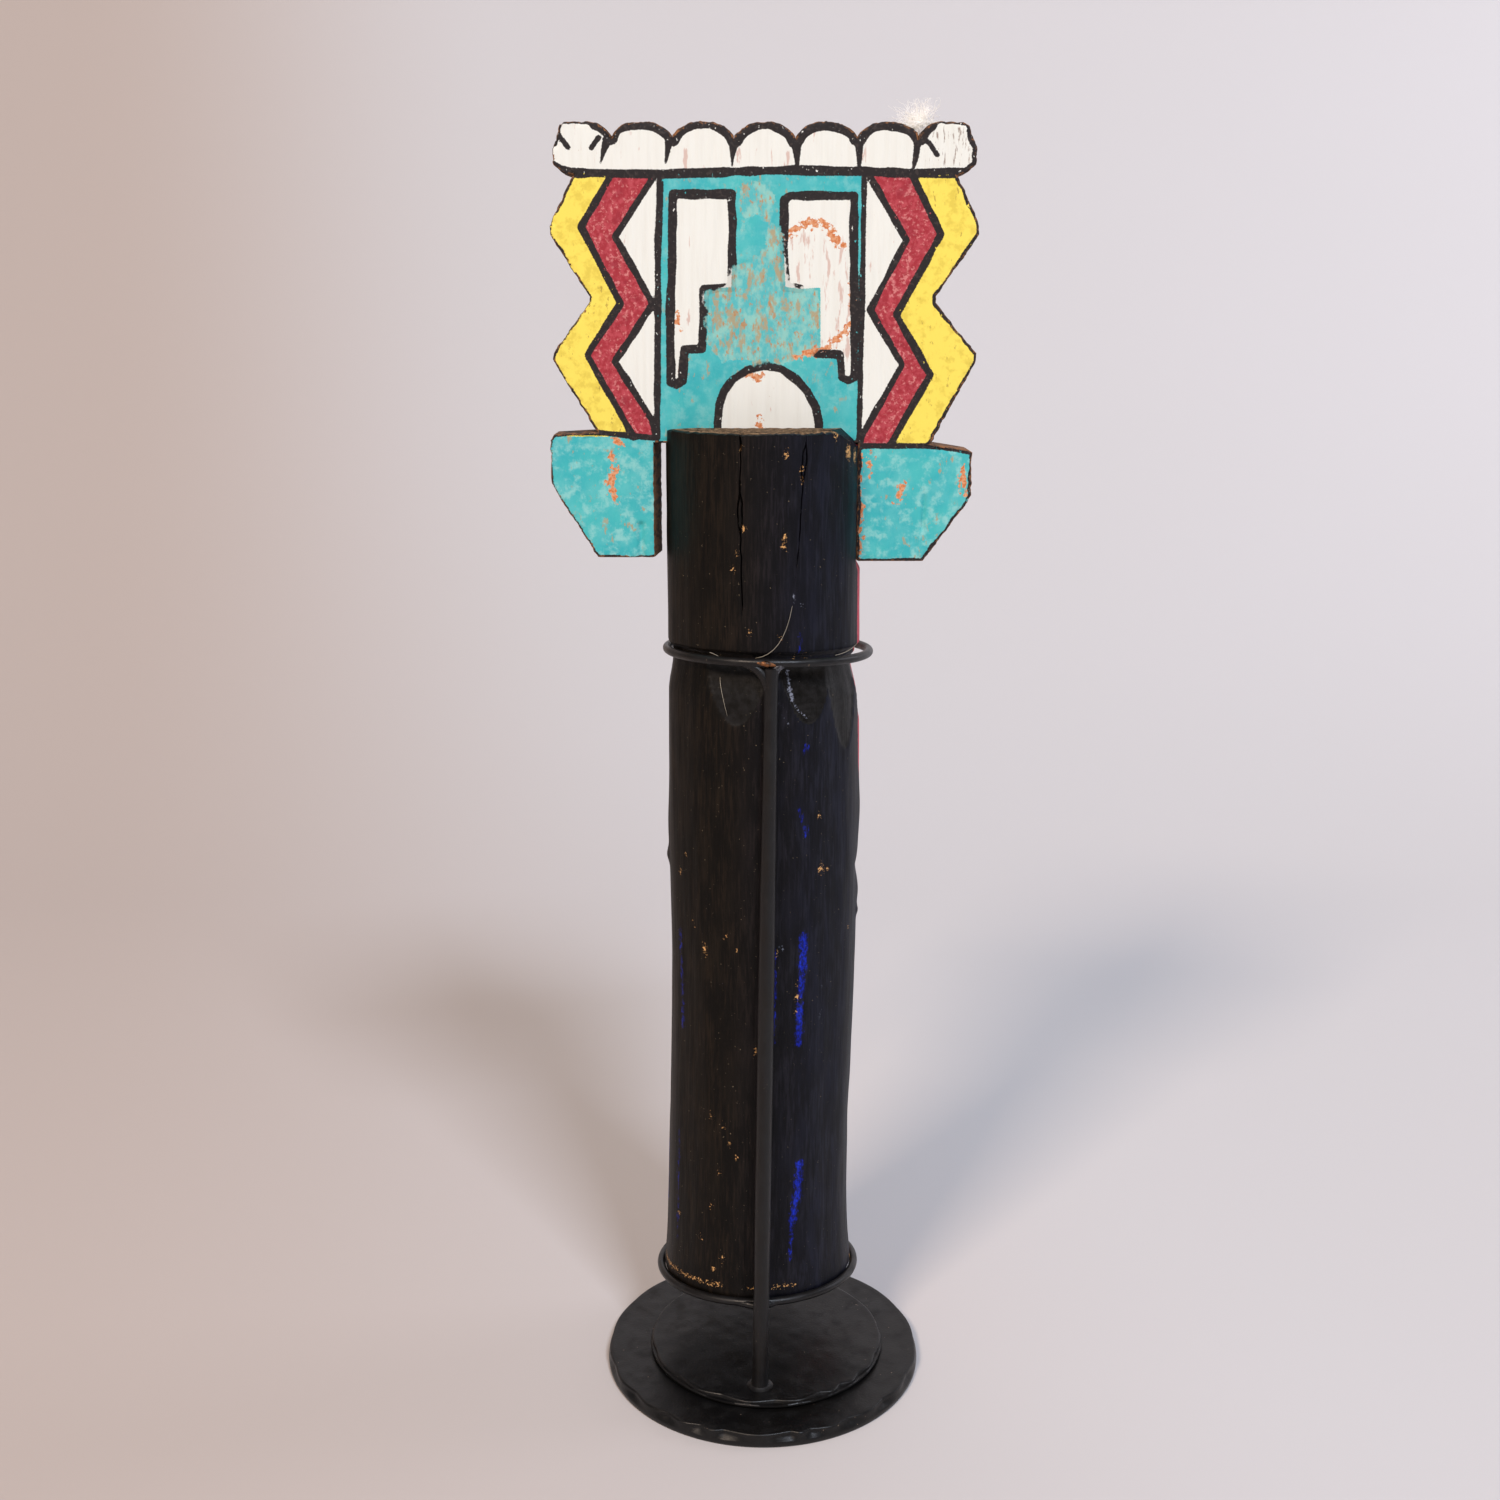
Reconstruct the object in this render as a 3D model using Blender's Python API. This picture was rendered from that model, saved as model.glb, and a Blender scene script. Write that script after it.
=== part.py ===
"""Painted prayer stick doll with a sawn board headdress, held upright in a forged iron stand.

The stand is two hammered discs, a rod, a closed ring under the foot of the stick and an open hoop
round its neck. The painted face of the board looks along -Y, and the origin is the centre of the
underside of the lower disc.
"""
import math

import bmesh
import bpy
import numpy as np

MM = 0.001
GAP = 0.3 * MM

# Hammered discs of the stand, each with the lobes that the hammer left round its rim
LOWER_DISC_RADIUS = 50.8 * MM
LOWER_DISC_THICK = 4.5 * MM
LOWER_DISC_LOBES = 14
UPPER_DISC_RADIUS = 38.0 * MM
UPPER_DISC_THICK = 2.2 * MM
UPPER_DISC_LOBES = 12
UPPER_DISC_OFFSET = 1.2 * MM
RIM_BEVEL_WIDTH = 2.2 * MM
RIM_BEVEL_DROP = 0.9 * MM
RIM_SCALLOP = 1.5 * MM
DISC_EDGE_ROUND = 0.6 * MM

# Wire of the ring and of the hoop, and the rod that carries them
WIRE_RADIUS = 1.3 * MM
ROD_FOOT_RADIUS = 2.45 * MM
ROD_TOP_RADIUS = 2.0 * MM
ROD_FOOT_X = -1.0 * MM
ROD_TOP_X = 1.9 * MM
RING_HEIGHT = 23.0 * MM
RING_RISE = 3.2 * MM
RING_SIDE = 0.5 * MM
HOOP_BELOW_TOP = 66.4 * MM
HOOP_SWEEP = math.radians(116)
HOOP_SHIFT = 1.4 * MM
HOOP_RISE = 1.5 * MM
HOOP_SIDE = -0.5 * MM
SEAT_ANGLE = math.radians(45)

# Whittled stick
STICK_LENGTH = 273.8 * MM
STICK_RADIUS = 28.95 * MM
STICK_END_RADIUS = 30.6 * MM
STICK_SETBACK = 7.9 * MM
STICK_FOOT_X = -1.75 * MM
STICK_SWAY = 1.75 * MM
STICK_LEAN_BACK = 0.25 * MM
FLARE_REACH = 17.0 * MM
END_CHAMFER = 2.6 * MM
SEAT_FADE = 60.0 * MM
TOP_ROUND = 1.2 * MM
BELLY = 0.5 * MM
BELLY_HEIGHT = 153.0 * MM
BELLY_REACH = 38.0 * MM
NECK_DEPTH = 1.5 * MM
NECK_STEP = 1.6 * MM
NECK_REACH = 13.0 * MM
FLAT_REACH = 27.3 * MM
FLAT_FADE = 4.0 * MM
WHITTLED_SIDES = 11
WHITTLE_DEPTH = 0.16 * MM
SCOOP_COUNT = 9
SCOOP_PHASE = math.radians(26)
SCOOP_DEPTH = 0.9 * MM
SCOOP_LENGTH = 17.0 * MM
KERF_DEPTH = 4.6 * MM

# Sawn board that straddles the top of the stick
BOARD_THICK = 14.0 * MM
BOARD_EDGE_ROUND = 0.5 * MM
SLOT_GAP_LEFT = 2.2 * MM
SLOT_GAP_RIGHT = 0.4 * MM
PANEL_HEIGHT = 74.0 * MM
PANEL_HALF_WIDTH = 54.3 * MM
BAND_HALF_WIDTH = 59.6 * MM
BAND_HEIGHT = 14.5 * MM
LOBE_COUNT = 7
END_LOBE_WIDTH = 13.4 * MM
LOBE_RISE = 4.6 * MM
TOOTH_OUT = 61.0 * MM
TOOTH_IN = 50.2 * MM
TOOTH_PITCH = 35.0 * MM
TOOTH_BLUNT = 1.1 * MM
FIRST_TOOTH_DROP = 14.8 * MM
NOTCH_DROP = 19.0 * MM
WING_HEIGHT = 34.0 * MM
WING_OUT = 61.6 * MM
WING_FOOT_X = 48.2 * MM
WING_SIDE_HEIGHT = 13.5 * MM
HAND_SLIP = 1.9 * MM

# Tuft of down on the scalloped band
TUFT_LENGTH = 13.0 * MM
TUFT_WIDTH = 7.0 * MM
TUFT_HEIGHT = 8.5 * MM
TUFT_SINK = 1.6 * MM
TUFT_LOBE = 5

ROUND_STEPS = 48
WIRE_SIDES = 10
SMOOTH_ANGLE = math.radians(40)

UPPER_DISC_BASE = LOWER_DISC_THICK + GAP
DISC_TOP = UPPER_DISC_BASE + UPPER_DISC_THICK
RING_Z = DISC_TOP + RING_HEIGHT
SEAT_REACH = WIRE_RADIUS + GAP
RING_RADIUS = STICK_END_RADIUS + SEAT_REACH * math.cos(SEAT_ANGLE)
STICK_RIM = RING_Z + SEAT_REACH * math.sin(SEAT_ANGLE)
STICK_BASE = STICK_RIM - END_CHAMFER
STICK_TOP = STICK_BASE + STICK_LENGTH
HOOP_Z = STICK_TOP - HOOP_BELOW_TOP
SLOT_TOP = STICK_TOP - KERF_DEPTH + GAP
BAND_BASE = SLOT_TOP + PANEL_HEIGHT
BOARD_TOP = BAND_BASE + BAND_HEIGHT


def smoothstep(low, high, value):
    """Rise from 0 at low to 1 at high with level ends."""
    t = np.clip((value - low) / (high - low), 0.0, 1.0)
    return t * t * (3.0 - 2.0 * t)


def bump(value, centre, reach):
    """Bell curve of height 1."""
    return np.exp(-((value - centre) / reach) ** 2)


def ring_level(angle):
    """The loaded ring droops behind, so its front stands above its middle, and its right a little."""
    return RING_RISE * np.cos(angle) + RING_SIDE * np.sin(angle)


def hoop_level(angle):
    """The hoop droops behind in the same way, and to the right."""
    return HOOP_RISE * np.cos(angle) + HOOP_SIDE * np.sin(angle)


def stick_axis_x(z):
    """The stick bows to the right in its lower third, and leans back a little above."""
    t = (z - STICK_BASE) / STICK_LENGTH
    bow = STICK_SWAY * smoothstep(0.08, 0.42, t)
    return STICK_FOOT_X + bow - STICK_LEAN_BACK * smoothstep(0.6, 0.9, t)


def stick_radius(angle, z):
    """Radius at an angle from the front and at a height, with flare, belly, neck and knife work."""
    flare = (STICK_END_RADIUS - STICK_RADIUS) * np.exp(-(z - STICK_RIM) / FLARE_REACH)
    belly = BELLY * bump(z - STICK_BASE, BELLY_HEIGHT, BELLY_REACH)
    radius = STICK_RADIUS + flare + belly - neck_depth(angle, z)
    twist = 0.5 * math.pi * (z - STICK_BASE) / STICK_LENGTH
    radius = radius - WHITTLE_DEPTH * (1.0 - np.cos(WHITTLED_SIDES * angle + twist))
    radius = radius - scoop_depth(angle, z)
    return radius - flat_depth(angle, z, radius)


def neck_depth(angle, z):
    """Step cut in under the head for the hoop, which runs out downwards."""
    above = z - HOOP_Z - hoop_level(angle)
    step = 1.0 - smoothstep(WIRE_RADIUS, WIRE_RADIUS + NECK_STEP, above)
    return NECK_DEPTH * step * smoothstep(-NECK_REACH, -WIRE_RADIUS, above)


def flat_depth(angle, z, radius):
    """What is sliced off the right side of the head, to let the board down over it."""
    foot = SLOT_TOP - WING_HEIGHT
    flat = FLAT_REACH / np.maximum(np.sin(angle), 0.1)
    return np.maximum(radius - flat, 0.0) * smoothstep(foot - FLAT_FADE, foot, z)


def scoop_depth(angle, z):
    """Short knife scoops in a ring just under the hoop, deepest at their upper end."""
    turn = SCOOP_COUNT * (angle - SCOOP_PHASE) / 2.0
    across = np.cos(turn) ** 2
    top = HOOP_Z + hoop_level(angle) - WIRE_RADIUS
    down = (top - z) / SCOOP_LENGTH
    along = smoothstep(-0.15, 0.12, down) * (1.0 - smoothstep(0.2, 0.65 + 0.35 * across, down))
    return SCOOP_DEPTH * along * (0.35 + 0.65 * across)


def widest(low, high):
    """Largest radius of the stick between two heights."""
    angles = np.linspace(0.0, 2.0 * math.pi, 180)
    heights = np.linspace(low, high, 30)
    return float(stick_radius(angles[None, :], heights[:, None]).max())


def make_material(name, colour, roughness, metallic=0.0):
    """Principled material with one colour."""
    material = bpy.data.materials.new(name)
    material.use_nodes = True
    shader = material.node_tree.nodes["Principled BSDF"]
    shader.inputs["Base Color"].default_value = (*colour, 1.0)
    shader.inputs["Roughness"].default_value = roughness
    shader.inputs["Metallic"].default_value = metallic
    material.diffuse_color = (*colour, 1.0)
    return material


def make_object(name, vertices, faces, material, smooth=True):
    """One closed body from points and faces, with its faces turned outwards."""
    mesh = bpy.data.meshes.new(name)
    mesh.from_pydata([tuple(map(float, v)) for v in vertices], [], faces)
    shape = bmesh.new()
    shape.from_mesh(mesh)
    bmesh.ops.recalc_face_normals(shape, faces=shape.faces)
    shape.to_mesh(mesh)
    shape.free()
    mesh.materials.append(material)
    if smooth:
        mesh.shade_smooth()
        mesh.set_sharp_from_angle(angle=SMOOTH_ANGLE)
    part = bpy.data.objects.new(name, mesh)
    bpy.context.scene.collection.objects.link(part)
    return part


def skin_rings(rings, caps=True):
    """Quads between rings of equal size, with the first and last ring closed by a fan."""
    count = len(rings[0])
    vertices = [point for ring in rings for point in ring]
    faces = []
    for row in range(len(rings) - 1):
        for column in range(count):
            near = row * count + column
            side = row * count + (column + 1) % count
            faces.append((near, side, side + count, near + count))
    if caps:
        for ring, start in ((rings[0], 0), (rings[-1], len(vertices) - count)):
            vertices.append(np.mean(ring, axis=0))
            centre = len(vertices) - 1
            faces += [(start + i, start + (i + 1) % count, centre) for i in range(count)]
    return vertices, faces


def circle(radius, z, x=0.0, y=0.0, steps=ROUND_STEPS):
    """Points of a level circle, counted from the front towards +X."""
    angle = np.arange(steps) * 2.0 * math.pi / steps
    radius = radius * np.ones(steps)
    z = z * np.ones(steps)
    return np.stack([x + radius * np.sin(angle), y - radius * np.cos(angle), z], axis=1)


def hammered_disc(name, radius, thick, lobes, base, x, material):
    """Disc whose top edge was beaten down: each blow leaves one lobe of the rim's bevel."""
    steps = lobes * 6
    angle = np.arange(steps) * 2.0 * math.pi / steps
    phase = lobes * angle / 2.0 + 0.5 * np.sin(angle) + 0.4 * np.sin(2.0 * angle + 1.0)
    lobe = np.abs(np.sin(phase))
    edge = radius - 0.25 * RIM_SCALLOP * (1.0 - lobe)
    bevel = RIM_BEVEL_WIDTH + RIM_SCALLOP * (1.0 - lobe)
    top = base + thick
    shoulder = top - RIM_BEVEL_DROP * (0.5 + 0.5 * lobe)
    low = base + DISC_EDGE_ROUND
    rings = [
        circle(radius - DISC_EDGE_ROUND, base, x, steps=steps),
        circle(radius, low, x, steps=steps),
        circle(edge, shoulder, x, steps=steps),
        circle(edge - bevel, top, x, steps=steps),
    ]
    vertices, faces = skin_rings(rings)
    return make_object(name, vertices, faces, material)


def tube_along(name, path, radii, material, closed=False, sides=WIRE_SIDES):
    """Round bar of changing radius along a path, its rings square to the path."""
    path = np.asarray(path)
    if closed:
        ahead = np.roll(path, -1, axis=0) - np.roll(path, 1, axis=0)
    else:
        ahead = np.gradient(path, axis=0)
    ahead /= np.linalg.norm(ahead, axis=1)[:, None]
    reference = np.array([0.0, 0.0, 1.0]) if abs(ahead[0][2]) < 0.7 else np.array([0.0, 1.0, 0.0])
    across = np.cross(ahead, reference)
    across /= np.linalg.norm(across, axis=1)[:, None]
    lift = np.cross(across, ahead)
    turn = np.arange(sides) * 2.0 * math.pi / sides
    rings = []
    for point, side, up, radius in zip(path, across, lift, radii):
        rings.append(point + radius * (np.cos(turn)[:, None] * side + np.sin(turn)[:, None] * up))
    if closed:
        vertices, faces = skin_rings(rings + [rings[0]], caps=False)
        vertices = vertices[: -sides]
        faces = [tuple(i % len(vertices) for i in face) for face in faces]
    else:
        vertices, faces = skin_rings(rings)
    return make_object(name, vertices, faces, material)


def foot_ring(material):
    """Closed wire ring, on whose inner shoulder the end of the stick rests."""
    angle = np.arange(ROUND_STEPS) * 2.0 * math.pi / ROUND_STEPS
    path = circle(RING_RADIUS, RING_Z + ring_level(angle), STICK_FOOT_X, STICK_SETBACK)
    return tube_along("foot_ring", path, [WIRE_RADIUS] * len(path), material, closed=True)


def hoop_radius():
    """The hoop clears the neck, and is shifted so that it touches on the left only."""
    angle = np.linspace(0.0, 2.0 * math.pi, 180)
    beside = HOOP_Z + hoop_level(angle)
    across = np.linspace(-WIRE_RADIUS, WIRE_RADIUS, 7)[:, None]
    neck = float(stick_radius(angle, beside + across).max())
    return neck + GAP + WIRE_RADIUS + HOOP_SHIFT


def hoop_centre_x():
    """The hoop's centre stands to the right of the stick's axis."""
    return float(stick_axis_x(HOOP_Z)) + HOOP_SHIFT


def top_hoop(material):
    """Open hoop: two arms run round the neck from the rod and end behind the stick."""
    angle = np.linspace(-HOOP_SWEEP, HOOP_SWEEP, 37)
    reach = hoop_radius()
    x = hoop_centre_x() + reach * np.sin(angle)
    y = STICK_SETBACK - reach * np.cos(angle)
    path = np.stack([x, y, HOOP_Z + hoop_level(angle)], axis=1)
    radii = np.full(len(path), WIRE_RADIUS)
    radii[[0, -1]] = 0.75 * WIRE_RADIUS
    return tube_along("top_hoop", path, radii, material)


def rod(material):
    """Tapered rod from the upper disc to the hoop, passing in front of the ring."""
    ring_front = STICK_SETBACK - RING_RADIUS - WIRE_RADIUS
    ring_y = ring_front - GAP - ROD_FOOT_RADIUS
    top_y = STICK_SETBACK - hoop_radius()
    base_z = DISC_TOP + GAP
    top_z = HOOP_Z + HOOP_RISE - WIRE_RADIUS - GAP
    ring_z = RING_Z + RING_RISE
    slope = (top_y - ring_y) / (top_z - ring_z)
    base_y = ring_y - slope * (ring_z - base_z)
    share = np.linspace(0.0, 1.0, 9)
    z = base_z + share * (top_z - base_z)
    taper = smoothstep(0.55, 1.0, share)
    radii = ROD_FOOT_RADIUS + taper * (ROD_TOP_RADIUS - ROD_FOOT_RADIUS)
    x = ROD_FOOT_X + share * (ROD_TOP_X - ROD_FOOT_X)
    y = base_y + slope * (z - base_z)
    rings = [circle(r, level, cx, cy, steps=14) for r, level, cx, cy in zip(radii, z, x, y)]
    vertices, faces = skin_rings(rings)
    return make_object("rod", vertices, faces, material)


def kerf_cutter(stick):
    """Saw kerf across the end of the stick, in which the board sits."""
    width = BOARD_THICK + 2.0 * GAP
    floor = SLOT_TOP - GAP
    height = 4.0 * KERF_DEPTH
    reach = 4.0 * STICK_RADIUS
    bpy.ops.mesh.primitive_cube_add(size=1.0, location=(0.0, STICK_SETBACK, floor + height / 2.0))
    cutter = bpy.context.object
    cutter.name = "kerf_cutter"
    cutter.scale = (reach, width, height)
    cutter.hide_render = True
    cutter.display_type = "WIRE"
    cut = stick.modifiers.new("kerf", "BOOLEAN")
    cut.operation = "DIFFERENCE"
    cut.solver = "EXACT"
    cut.object = cutter


def stick(material):
    """Whittled round stick with a chamfered foot, a rounded top edge and a kerf in its end."""
    body_top = STICK_TOP - TOP_ROUND
    scoop_end = HOOP_Z - WIRE_RADIUS - SCOOP_LENGTH
    head_foot = HOOP_Z + HOOP_RISE + WIRE_RADIUS + NECK_STEP
    levels = np.concatenate([
        np.linspace(STICK_RIM, scoop_end, 22),
        np.linspace(scoop_end, head_foot, 17)[1:],
        np.linspace(head_foot, body_top, 9)[1:],
    ])
    angle = np.arange(ROUND_STEPS) * 2.0 * math.pi / ROUND_STEPS
    seat = ring_level(angle)
    base_radius = STICK_END_RADIUS - END_CHAMFER
    rings = [circle(base_radius, STICK_BASE + seat, STICK_FOOT_X, STICK_SETBACK)]
    for level in levels:
        z = level + seat * (1.0 - smoothstep(STICK_RIM, STICK_RIM + SEAT_FADE, level))
        rings.append(circle(stick_radius(angle, level), z, stick_axis_x(level), STICK_SETBACK))
    top_radius = stick_radius(angle, STICK_TOP) - TOP_ROUND
    rings.append(circle(top_radius, STICK_TOP, stick_axis_x(STICK_TOP), STICK_SETBACK))
    vertices, faces = skin_rings(rings)
    body = make_object("stick", vertices, faces, material)
    kerf_cutter(body)
    return body


def wing_outline(side):
    """Wing beside the stick, from the top of the slot out to the foot of the zigzag, upwards."""
    slip = side * HAND_SLIP
    left = -widest(SLOT_TOP - WING_HEIGHT, SLOT_TOP) - SLOT_GAP_LEFT
    right = FLAT_REACH + SLOT_GAP_RIGHT
    wall = float(stick_axis_x(SLOT_TOP)) + (left if side < 0 else right)
    bottom = SLOT_TOP - WING_HEIGHT - 0.3 * slip
    top = SLOT_TOP - 0.9 * slip
    out = side * WING_OUT - 0.4 * slip * side
    return [
        (wall, SLOT_TOP),
        (wall, bottom + 0.4 * TOOTH_BLUNT),
        (wall + side * TOOTH_BLUNT, bottom),
        (side * WING_FOOT_X - 0.6 * slip * side, bottom),
        (out - side * TOOTH_BLUNT, top - WING_SIDE_HEIGHT - 2.0 * TOOTH_BLUNT),
        (out, top - WING_SIDE_HEIGHT),
        (out, top - TOOTH_BLUNT),
        (out - side * TOOTH_BLUNT, top - 0.3 * slip),
        (side * (TOOTH_IN - TOOTH_BLUNT) - 0.4 * slip, top + TOOTH_BLUNT),
    ]


def zigzag_outline(side):
    """Two teeth between the wing and the band, upwards; each tip and notch is a little blunt."""
    points = []
    notch_x = side * TOOTH_IN - (0.6 * HAND_SLIP if side > 0 else 0.0)
    for tooth in (1, 0):
        tip = BAND_BASE - FIRST_TOOTH_DROP - tooth * TOOTH_PITCH
        points.append((side * TOOTH_OUT, tip - TOOTH_BLUNT))
        points.append((side * TOOTH_OUT, tip + TOOTH_BLUNT))
        if tooth:
            notch = BAND_BASE - FIRST_TOOTH_DROP - NOTCH_DROP
            points.append((notch_x, notch - 0.8 * TOOTH_BLUNT))
            points.append((notch_x, notch + 0.8 * TOOTH_BLUNT))
    points.append((side * PANEL_HALF_WIDTH, BAND_BASE))
    return points


def band_end_outline(side):
    """Rounded end of the scalloped band, upwards."""
    shape = ((0.96, 0.06), (1.0, 0.2), (1.0, 0.5), (0.975, 0.76), (0.965, 0.93))
    return [(side * BAND_HALF_WIDTH * across, BAND_BASE + BAND_HEIGHT * up) for across, up in shape]


def lobe_edges():
    """Where the scalloped lobes meet; the two end lobes are narrower than the rest."""
    end = 0.95 * BAND_HALF_WIDTH
    inner = end - END_LOBE_WIDTH
    middle = np.linspace(-inner, inner, LOBE_COUNT - 1)
    return np.concatenate([[-end], middle, [end]])


def band_top(x):
    """Height of the scalloped edge: between two valleys it rises as a flattened arc."""
    edges = lobe_edges()
    place = int(np.clip(np.searchsorted(edges, x) - 1, 0, LOBE_COUNT - 1))
    low, high = edges[place], edges[place + 1]
    across = min(1.0, abs(2.0 * (x - low) / (high - low) - 1.0))
    if place == 0 and x < (low + high) / 2.0:
        across = 0.0
    if place == LOBE_COUNT - 1 and x > (low + high) / 2.0:
        across = 0.0
    return BOARD_TOP - LOBE_RISE * (1.0 - (1.0 - across ** 2.4) ** 0.7)


def scallop_outline():
    """The seven lobes from left to right, with the valleys between them cut sharp."""
    points = []
    edges = lobe_edges()
    for low, high in zip(edges[:-1], edges[1:]):
        for share in np.linspace(0.0, 1.0, 9)[:-1]:
            x = low + share * (high - low)
            points.append((x, band_top(x)))
    points.append((edges[-1], band_top(edges[-1])))
    return points


def board_outline():
    """Whole outline of the board, clockwise as the painted face shows it."""
    left = wing_outline(-1) + zigzag_outline(-1) + band_end_outline(-1)
    right = wing_outline(1) + zigzag_outline(1) + band_end_outline(1)
    return np.array(left + scallop_outline() + right[::-1])


def inset(outline, amount):
    """Move each corner of a clockwise outline inwards, square to its two edges' mean."""
    before = outline - np.roll(outline, 1, axis=0)
    after = np.roll(outline, -1, axis=0) - outline
    before /= np.linalg.norm(before, axis=1)[:, None]
    after /= np.linalg.norm(after, axis=1)[:, None]
    along = before + after
    along /= np.linalg.norm(along, axis=1)[:, None]
    return outline + amount * np.stack([along[:, 1], -along[:, 0]], axis=1)


def tablita(material):
    """Board sawn from one plank, with eased edges, straddling the stick."""
    outline = board_outline()
    front = STICK_SETBACK - BOARD_THICK / 2.0
    back = STICK_SETBACK + BOARD_THICK / 2.0
    layers = (
        (front, inset(outline, BOARD_EDGE_ROUND)),
        (front + BOARD_EDGE_ROUND, outline),
        (back - BOARD_EDGE_ROUND, outline),
        (back, inset(outline, BOARD_EDGE_ROUND)),
    )
    rings = [np.stack([ring[:, 0], np.full(len(ring), y), ring[:, 1]], axis=1) for y, ring in layers]
    vertices, faces = skin_rings(rings, caps=False)
    count = len(outline)
    faces.append(tuple(range(count)))
    faces.append(tuple(range(3 * count, 4 * count)))
    return make_object("tablita", vertices, faces, material, smooth=False)


def down_tuft(material):
    """Small clump of down glued into the valley at the right of a lobe, its underside on both lobes."""
    edges = lobe_edges()
    x = edges[TUFT_LOBE + 1] - 0.3 * TUFT_LENGTH
    z = BOARD_TOP - TUFT_SINK + TUFT_HEIGHT / 2.0
    rings = []
    for turn in np.linspace(0.12, 0.88, 7) * math.pi:
        wide = math.sin(turn)
        up = -math.cos(turn)
        ring = circle(wide * TUFT_WIDTH / 2.0, z + up * TUFT_HEIGHT / 2.0, 0.0, STICK_SETBACK, steps=12)
        ring[:, 0] = ring[:, 0] * TUFT_LENGTH / TUFT_WIDTH + x - 0.15 * up * TUFT_LENGTH
        seat = np.array([band_top(place) for place in ring[:, 0]]) + 1.5 * GAP
        ring[:, 2] = np.maximum(ring[:, 2], seat)
        rings.append(ring)
    vertices, faces = skin_rings(rings)
    return make_object("down_tuft", vertices, faces, material)


def build():
    """Clear the scene and make each piece of the doll and of its stand."""
    for old in list(bpy.data.objects):
        bpy.data.objects.remove(old, do_unlink=True)
    iron = make_material("black_iron", (0.022, 0.021, 0.023), 0.42, 0.6)
    black_paint = make_material("black_paint", (0.012, 0.011, 0.013), 0.5)
    board_paint = make_material("board_paint", (0.06, 0.44, 0.46), 0.65)
    down = make_material("down", (0.82, 0.80, 0.76), 0.9)
    hammered_disc("lower_disc", LOWER_DISC_RADIUS, LOWER_DISC_THICK, LOWER_DISC_LOBES, 0.0, 0.0, iron)
    hammered_disc("upper_disc", UPPER_DISC_RADIUS, UPPER_DISC_THICK, UPPER_DISC_LOBES,
                  UPPER_DISC_BASE, UPPER_DISC_OFFSET, iron)
    foot_ring(iron)
    top_hoop(iron)
    rod(iron)
    stick(black_paint)
    tablita(board_paint)
    down_tuft(down)


build()
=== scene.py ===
# %% [markdown]
# # A prayer stick doll on its iron stand
# The doll is a round stick, whittled with a knife and painted black, with a painted board astride its
# end. A forged stand holds it up: two hammered discs, a rod, a ring under its foot and a hoop round its
# neck. The solids come in as a fixed frame in metres. Each is then dressed with a finer surface of the
# same form, worked out with numpy, and with a material made of shader nodes.

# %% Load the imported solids
import math

import bmesh
import bpy
import mathutils
import numpy as np
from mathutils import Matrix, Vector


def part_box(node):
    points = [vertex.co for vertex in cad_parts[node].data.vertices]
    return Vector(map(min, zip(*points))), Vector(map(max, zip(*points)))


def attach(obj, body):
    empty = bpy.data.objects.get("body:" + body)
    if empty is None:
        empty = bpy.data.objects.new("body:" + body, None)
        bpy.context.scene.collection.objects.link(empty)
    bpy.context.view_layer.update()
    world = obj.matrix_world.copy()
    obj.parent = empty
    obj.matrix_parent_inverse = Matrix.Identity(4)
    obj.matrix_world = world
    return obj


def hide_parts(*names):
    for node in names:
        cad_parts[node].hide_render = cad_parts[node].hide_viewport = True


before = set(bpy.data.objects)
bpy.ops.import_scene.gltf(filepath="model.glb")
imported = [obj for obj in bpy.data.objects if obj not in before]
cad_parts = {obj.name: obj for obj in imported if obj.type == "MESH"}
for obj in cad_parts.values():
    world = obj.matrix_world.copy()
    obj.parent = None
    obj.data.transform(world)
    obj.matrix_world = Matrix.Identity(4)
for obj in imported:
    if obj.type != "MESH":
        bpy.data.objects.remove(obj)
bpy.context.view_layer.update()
print("solids:", sorted(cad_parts))

# %% [markdown]
# ## Three small tools
# Colours are easiest to judge as sRGB hex codes, but shaders work in linear light, so one function
# turns a code into a linear colour. Meshes come from grids of points: the same grid of faces serves a
# tube, a stick and a board. Noise on a lattice gives each surface its own unevenness, the same each run.

# %% Colour, noise and mesh tools
MM = 0.001


def linear(code):
    """Linear colour of a hex code: a channel v above 0.04 becomes ((v + 0.055) / 1.055) to the 2.4."""
    channels = np.array([int(code[i:i + 2], 16) for i in (1, 3, 5)]) / 255.0
    light = np.where(channels < 0.04045, channels / 12.92, ((channels + 0.055) / 1.055) ** 2.4)
    return (*(float(c) for c in light), 1.0)


def smoothstep(low, high, value):
    """Rise from 0 at low to 1 at high: 3 t squared minus 2 t cubed."""
    t = np.clip((value - low) / (high - low), 0.0, 1.0)
    return t * t * (3.0 - 2.0 * t)


def lattice(column, row, seed):
    """A repeatable number from 0 to 1 for each lattice point: the fraction of a large sine."""
    return np.modf(np.abs(np.sin(column * 12.9898 + row * 78.233 + seed * 37.719) * 43758.5453))[0]


def noise(u, v, seed, around=None):
    """Smooth noise from -1 to 1 between lattice points; around is how many columns close a circle."""
    u, v = np.broadcast_arrays(np.asarray(u, float), np.asarray(v, float))
    left, low = np.floor(u), np.floor(v)
    across, up = smoothstep(0.0, 1.0, u - left), smoothstep(0.0, 1.0, v - low)
    right = left + 1.0
    if around:
        left, right = left % around, right % around
    lower = lattice(left, low, seed) * (1.0 - across) + lattice(right, low, seed) * across
    upper = lattice(left, low + 1.0, seed) * (1.0 - across) + lattice(right, low + 1.0, seed) * across
    return 2.0 * (lower * (1.0 - up) + upper * up) - 1.0


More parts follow.
